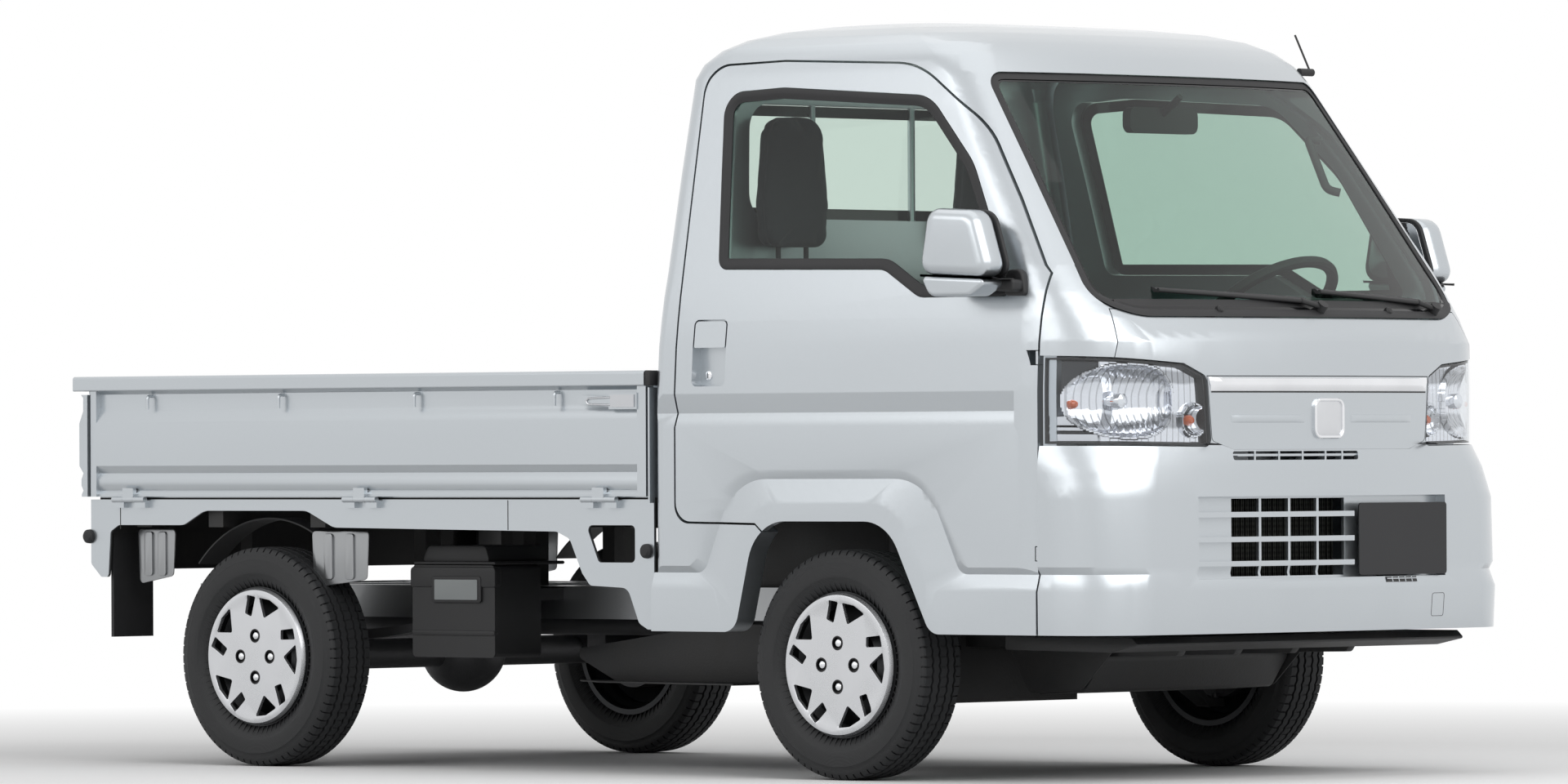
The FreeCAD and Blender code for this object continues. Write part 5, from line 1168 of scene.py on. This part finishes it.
ARCH_SIDE = [(0.12, 0.43, 0.02), (0.12, 0.636, 0.01), (1.3, 0.636, 0.01), (1.34, 0.3, 0.02),
             (1.24, 0.205, 0.02), (1.08, 0.195, 0.02), (1.02, 0.3, 0.03), (0.64, 0.3, 0.03),
             (0.6, 0.215, 0.02), (0.43, 0.215, 0.02), (0.41, 0.4, 0.03)]
NOSE_BEAM = [(1.06, 0.232, 0.02), (1.1, 0.192, 0.02), (1.24, 0.2, 0.02), (1.3, 0.286, 0.02),
             (1.27, 0.3, 0.01), (1.06, 0.29, 0.01)]
NOSE_TRAY = [(1.2, 0.3, 0.004), (1.52, 0.296, 0.004), (1.6, 0.312, 0.004), (1.58, 0.33, 0.004),
             (1.2, 0.33, 0.004)]
NOSE_RIB = [(1.25, 0.28, 0.01), (1.5, 0.284, 0.01), (1.52, 0.31, 0.01), (1.25, 0.31, 0.01)]
COVER_TOP = [(-0.625, 0.49, 0.01), (-0.395, 0.49, 0.01), (-0.41, 0.532, 0.015), (-0.6, 0.532, 0.015)]
UNDER_TRAY = [(-0.335, 0.262, 0.01), (-0.215, 0.208, 0.02), (0.285, 0.205, 0.01), (0.3, 0.345, 0.01),
              (0.13, 0.348, 0.01), (-0.335, 0.285, 0.01)]


def below_bed():
    """The battery box's lid, pad, blank label and cover, plates on the rails, and the nose's underside."""
    (x0, outer, _), (x1, _, top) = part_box("battery_box")
    lid = rect(x0 - 0.004, x1 + 0.004, top - 0.052, top - 0.004, 0.006, 0.01)
    solid("battery_lid", slab_shape(lid, "xz", outer - 0.004, outer + 0.02), TRIM_BLACK, bevel=0.003)
    pad = slab_shape(rect(-0.572, -0.408, 0.396, 0.459, 0.008), "xz", outer - 0.0062, outer + 0.001)
    rim = slab_shape(rect(x0 - 0.001, x1 + 0.001, 0.318, 0.33, 0.006), "xz", outer - 0.003, outer + 0.01)
    solid("battery_label_pad", joined([pad, rim]), TRIM_BLACK, bevel=0.0025)
    label = slab_shape(rect(-0.561, -0.419, 0.403, 0.451, 0.003), "xz", outer - 0.0075, outer - 0.005)
    solid("battery_label", label, LABEL_GREY, bevel=0.0004)
    cover = [slab_shape(COVER_TOP, "xz", -0.6, -0.4),
             slab_shape(rect(-0.64, -0.368, 0.486, 0.494, 0.004), "xz", -0.61, -0.37)]
    solid("battery_cover", joined(cover), TRIM_BLACK, bevel=0.004)
    for side, name in SIDES:
        rail = slab_shape(rect(-0.345, 0.03, 0.356, 0.431, 0.004), "xz", side * 0.352, side * 0.3545)
        solid("rail_plate_" + name, rail, RAIL_SILVER, bevel=0.001)
        tag = slab_shape(rect(-0.262, -0.208, 0.371, 0.395, 0.002), "xz", side * 0.354, side * 0.3552)
        solid("rail_tag_" + name, tag, SATIN_SILVER, "truck", "plate", bevel=0.0003)
        panel = slab_shape(ARCH_SIDE, "xz", side * 0.338, side * 0.342)
        solid("arch_side_" + name, panel, CHASSIS, bevel=0.001)
    under = [slab_shape(NOSE_BEAM, "xz", -0.33, 0.33), slab_shape(NOSE_TRAY, "xz", -0.56, 0.6)]
    under += [slab_shape(NOSE_RIB, "xz", y - 0.012, y + 0.012) for y in (-0.3, -0.1, 0.1, 0.3)]
    solid("nose_underpan", joined(under), CHASSIS, bevel=0.002)


def under_floor():
    """The dark tray between the frame and the right sill."""
    shelf = [(-0.335, -0.355), (0.3, -0.355), (0.3, -0.5), (-0.2, -0.43)]
    tray = [slab_shape(UNDER_TRAY, "xz", -0.357, -0.352), slab_shape(shelf, "xy", 0.206, 0.21)]
    solid("under_tray_right", joined(tray), CHASSIS, bevel=0.001)


# Doors

MIRROR_SHELL = [(1.1775, 1.149, 0.034), (1.2055, 1.3, 0.036), (1.3475, 1.292, 0.045), (1.399, 1.1385, 0.03)]
MIRROR_POD = [(1.18, 1.147, 0.01), (1.396, 1.137, 0.01), (1.329, 1.099, 0.03), (1.208, 1.099, 0.03)]
MIRROR_SEAM = [(1.179, 1.15, 0.004), (1.3965, 1.1402, 0.004), (1.396, 1.136, 0.004), (1.1795, 1.1458, 0.004)]
MIRROR_FACE = [(1.192, 1.16, 0.03), (1.214, 1.289, 0.03), (1.338, 1.283, 0.035), (1.383, 1.15, 0.025)]
MIRROR_PARTS = (("shell", MIRROR_SHELL, 0.756, 0.8345, 0.026, PAINT),
                ("pod", MIRROR_POD, 0.748, 0.8245, 0.014, PAINT),
                ("back", MIRROR_SHELL, 0.7465, 0.7575, 0.004, TRIM_BLACK),
                ("seam", MIRROR_SEAM, 0.746, 0.82, 0.001, GLOSS_BLACK),
                ("glass", MIRROR_FACE, 0.745, 0.7468, 0.0006, MIRROR))
MIRROR_ARM = [(1.33, 1.112, 0.008), (1.335, 1.139, 0.008), (1.404, 1.136, 0.008), (1.404, 1.108, 0.008)]
MIRROR_FOOT = [(1.35, 1.1, 0.008), (1.35, 1.16, 0.02), (1.4, 1.16, 0.02), (1.412, 1.1, 0.008)]
MIRROR_SAIL = [(1.292, 1.214, 0.01), (1.292, 1.112, 0.02), (1.366, 1.104, 0.006), (1.322, 1.2, 0.02)]
DOOR_CARD = [(0.43, 0.72, 0.03), (1.29, 0.72, 0.06), (1.33, 0.96, 0.05), (0.43, 0.96, 0.03)]
LOCK = [(0.0, -0.002), (0.0105, -0.002), (0.0105, 0.002), (0.0085, 0.0032), (0.0, 0.0032)]
HINGE_LEVELS = ((0.945, 0.975), (0.505, 0.535))


def mirrors():
    for side, name in SIDES:
        body = "door_" + name
        for part, outline, near, far, bevel, finish in MIRROR_PARTS:
            piece = solid(f"mirror_{part}_{name}", slab_shape(outline, "xz", side * near, side * far), finish,
                          body, bevel=bevel, steps=6)
            if part == "shell":
                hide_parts("door_mirror_" + name)
        arm = [slab_shape(MIRROR_ARM, "xz", side * 0.7215, side * 0.758),
               slab_shape(MIRROR_FOOT, "xz", side * 0.706, side * 0.726)]
        solid("mirror_arm_" + name, joined(arm), TRIM_BLACK, body, bevel=0.005, steps=3)
        sail = patch_shape(surface_of("door_glass_" + name), MIRROR_SAIL, side, 0.0022)
        solid("mirror_sail_" + name, sail, TRIM_BLACK, body)


def door_fittings():
    """The key lock in the handle's recess, with its dark slot."""
    for side, name in SIDES:
        body = "door_" + name
        hit = cast_on(surface_of(body), "xz", 0.417, 0.928, side)
        solid("door_lock_" + name, lathe_shape(LOCK, hit, (0, side, 0), 28), CHROME, body)
        slot = box_shape(hit.x - 0.0012, hit.x + 0.0012, hit.y + side * 0.0025 - 0.0004,
                         hit.y + side * 0.0036 + 0.0004, hit.z - 0.0055, hit.z + 0.0055)
        solid("door_lock_slot_" + name, slot, GLOSS_BLACK, body, smoothed=False)


def door_cards():
    """Lining, pull and window winder on the doors' inner faces."""
    inset = rect(0.52, 1.13, 0.775, 0.905, 0.04)
    for side, name in SIDES:
        body = "door_" + name
        surface = surface_of(body)
        solid("door_card_" + name, patch_shape(surface, DOOR_CARD, -side, 0.0015), TRIM_GREY, body)
        solid("door_card_inset_" + name, patch_shape(surface, inset, -side, 0.0026), CLOTH, body)
        y = cast_on(surface, "xz", 0.8, 0.93, -side).y - side * 0.0015
        inner = y - side * 0.02
        handle = [(0.72, y, 0.93), (0.725, inner, 0.93), (0.875, inner, 0.93), (0.88, y, 0.93)]
        pull = tube_shape(handle, 0.0075, 14, 0.012)
        hub = lathe_shape([(0.0, 0.0), (0.017, 0.0), (0.015, 0.012), (0.0, 0.013)], (1.175, y, 0.84),
                          (0, -side, 0), 28)
        crank = tube_shape([(1.175, y - side * 0.01, 0.84), (1.215, y - side * 0.013, 0.815),
                            (1.262, y - side * 0.013, 0.795)], 0.0055, 12, 0.01)
        knob = lathe_shape([(0.0, 0.008), (0.009, 0.008), (0.0105, 0.018), (0.008, 0.03), (0.0, 0.031)],
                           (1.262, y, 0.795), (0, -side, 0), 24)
        solid("door_pull_" + name, joined([pull, hub, crank, knob]), TRIM_BLACK, body)


def hinge_fillers():
    """Painted pieces that close the door's hinge pockets from outside, clear of the turning door."""
    for side, name in SIDES:
        pin = next(Vector(j["pos_m"]) for j in frame["joints"] if j["name"] == "open_door_" + name)
        pin_y = abs(pin.y)
        door = surface_of("door_" + name)
        shapes = []
        for low, high in HINGE_LEVELS:
            outer = []
            for i in range(15):
                x = pin.x + 0.0392 + 0.0018 * i
                skins = [cast_on(door, "xz", x, z, side) for z in (low - 0.006, high + 0.006)]
                if None in skins:
                    break
                y = min(sum(abs(p.y) for p in skins) / 2 - 0.0008, pin_y + 0.0125)
                outer.append((x, side * y))
            inner = [(outer[-1][0], side * (pin_y - 0.004)), (outer[0][0], side * (pin_y - 0.002))]
            shapes.append(slab_shape(outer + inner, "xy", low, high))
        solid("hinge_fillers_" + name, joined(shapes), PAINT, smoothed=False)


# Wiper blades, washer nozzles

NOZZLE = [(0.0, -0.002), (0.01, -0.002), (0.0095, 0.005), (0.006, 0.009), (0.0, 0.0095)]
BLADE_SECTION = [(-0.006, 0.0005), (-0.005, 0.01), (0.0, 0.013), (0.005, 0.01), (0.006, 0.0005)]


def cowl_fittings():
    surface = surface_of("cowl_panel", "windshield")
    nozzles = [lathe_shape(NOZZLE, cast_on(surface, "yz", y, 1.068, 1), (1, 0, 0.4), 20)
               for y in (-0.3, 0.3)]
    solid("washer_nozzles", joined(nozzles), TRIM_BLACK)
    blades = []
    for tip, end in ((-0.455, 0.0), (0.06, 0.47)):
        line = list(zip(spread(tip, end, 30), spread(1.1135, 1.0935, 30)))
        rows = [[(y, z + rise, height) for y, z in line] for rise, height in BLADE_SECTION]
        blades.append(strip_shape(surface, rows))
    solid("wiper_blades", joined(blades), RUBBER)


# Wheel guards

GUARD_RADIUS = 0.33
GUARD_THICK = 0.004
BRACKETS = ((-0.915, -0.735, 0.43, 0.566), (-1.518, -1.4, 0.436, 0.57))


def guard_shape(near, far):
    """A curved sheet over a rear wheel."""
    rows = []
    for radius, y in ((0, near), (0, far), (GUARD_THICK, far), (GUARD_THICK, near)):
        reach = GUARD_RADIUS + radius
        rows.append([Vector((HUBS["rear"] + reach * math.cos(angle), y, HUB_Z + reach * math.sin(angle)))
                     for angle in map(math.radians, spread(42, 138, 40))])
    return skin(rows, around=False, along=True)


def wheel_guards():
    for side, name in SIDES:
        solid("rear_wheel_guard_" + name, guard_shape(side * 0.585, side * 0.664), RUBBER)
        brackets = []
        for x0, x1, z0, z1 in BRACKETS:
            plate = [(x0, z0, 0.012), (x1, z0 + 0.02, 0.012), (x1 + 0.006, z1, 0.01), (x0 - 0.006, z1, 0.01)]
            brackets.append(slab_shape(plate, "xz", side * 0.668, side * 0.672))
            for share in (0.3, 0.7):
                x = x0 + (x1 - x0) * share
                strap = rect(x - 0.014, x + 0.014, z0 + 0.02, z1 - 0.006, 0.008)
                brackets.append(slab_shape(strap, "xz", side * 0.67, side * 0.678))
        solid("mudguard_brackets_" + name, joined(brackets), FRAME_SILVER, bevel=0.003)


window_rubbers()
wheels()
chrome_bar()
blank_badge()
for lamp_side, lamp_name in SIDES:
    headlamp(lamp_side, lamp_name)
seats()
cab_inside()
bed_trim()
below_bed()
mirrors()
door_fittings()
cowl_fittings()
wheel_guards()
under_floor()
nose_slots()
bumper_low_fittings()
hinge_fillers()
door_cards()


# Studio

FLOOR_HALF = 60.0
FADE_START = 2.4
FADE_LENGTH = 4.0
WORLD_LIGHT = 0.42


def make_floor():
    """A pale floor that reads white to the camera and keeps the truck's shadow."""
    mesh = bpy.data.meshes.new("floor")
    h = FLOOR_HALF
    mesh.from_pydata([(-h, -h, 0), (h, -h, 0), (h, h, 0), (-h, h, 0)], [], [(0, 1, 2, 3)])
    floor = linked("floor", mesh)
    f = Finish("studio_floor")
    seen = (f.node("LightPath", out=0).high(f.node("LightPath", out=3))).high(f.node("LightPath", out=6))
    matte = f.node("BsdfDiffuse", Color=f.blend(seen, tone((0.3, 0.31, 0.32)), tone((1, 1, 1))))
    away = f.node("VectorMath", {"operation": "LENGTH"}, out=1, i0=f.node("NewGeometry", out=0))
    far = ((away - FADE_START) / FADE_LENGTH).clamped()
    white = f.node("Emission", Color=tone((1, 1, 1)), Strength=1.0)
    mesh.materials.append(f.ends_in(f.node("MixShader", i0=far * seen, i1=matte, i2=white)))


def make_world():
    """White for the eye and for reflections, and dimmer as a light."""
    world = bpy.data.worlds.new("studio")
    bpy.context.scene.world = world
    world.use_nodes = True
    tree = world.node_tree
    tree.nodes.clear()
    path = tree.nodes.new("ShaderNodeLightPath")
    camera, glossy, through = [Sock(tree, path.outputs[f"Is {kind} Ray"])
                               for kind in ("Camera", "Glossy", "Transmission")]
    strength = camera.high(glossy).high(through) * (1.0 - WORLD_LIGHT) + WORLD_LIGHT
    background = tree.nodes.new("ShaderNodeBackground")
    background.inputs["Color"].default_value = (1, 1, 1, 1)
    tree.links.new(strength.socket, background.inputs["Strength"])
    output = tree.nodes.new("ShaderNodeOutputWorld")
    tree.links.new(background.outputs[0], output.inputs[0])


def lamp(name, place, target, size, power):
    data = bpy.data.lights.new(name, "AREA")
    data.shape = "RECTANGLE"
    data.size, data.size_y = size
    data.energy = power
    aim = (Vector(target) - Vector(place)).to_track_quat("-Z", "Y")
    linked(name, data).matrix_world = Matrix.Translation(place) @ aim.to_matrix().to_4x4()


make_floor()
make_world()
lamp("top_softbox", (0.0, 0.0, 6.0), (0, 0, 0), (7.0, 5.0), 50.0)
lamp("front_softbox", (7.0, -1.0, 5.0), (0.8, 0, 0.8), (9.0, 5.0), 275.0)
lamp("side_softbox", (-1.0, -7.5, 4.4), (0, 0, 0.7), (8.0, 3.0), 115.0)

view = bpy.context.scene.view_settings
view.view_transform = "Standard"
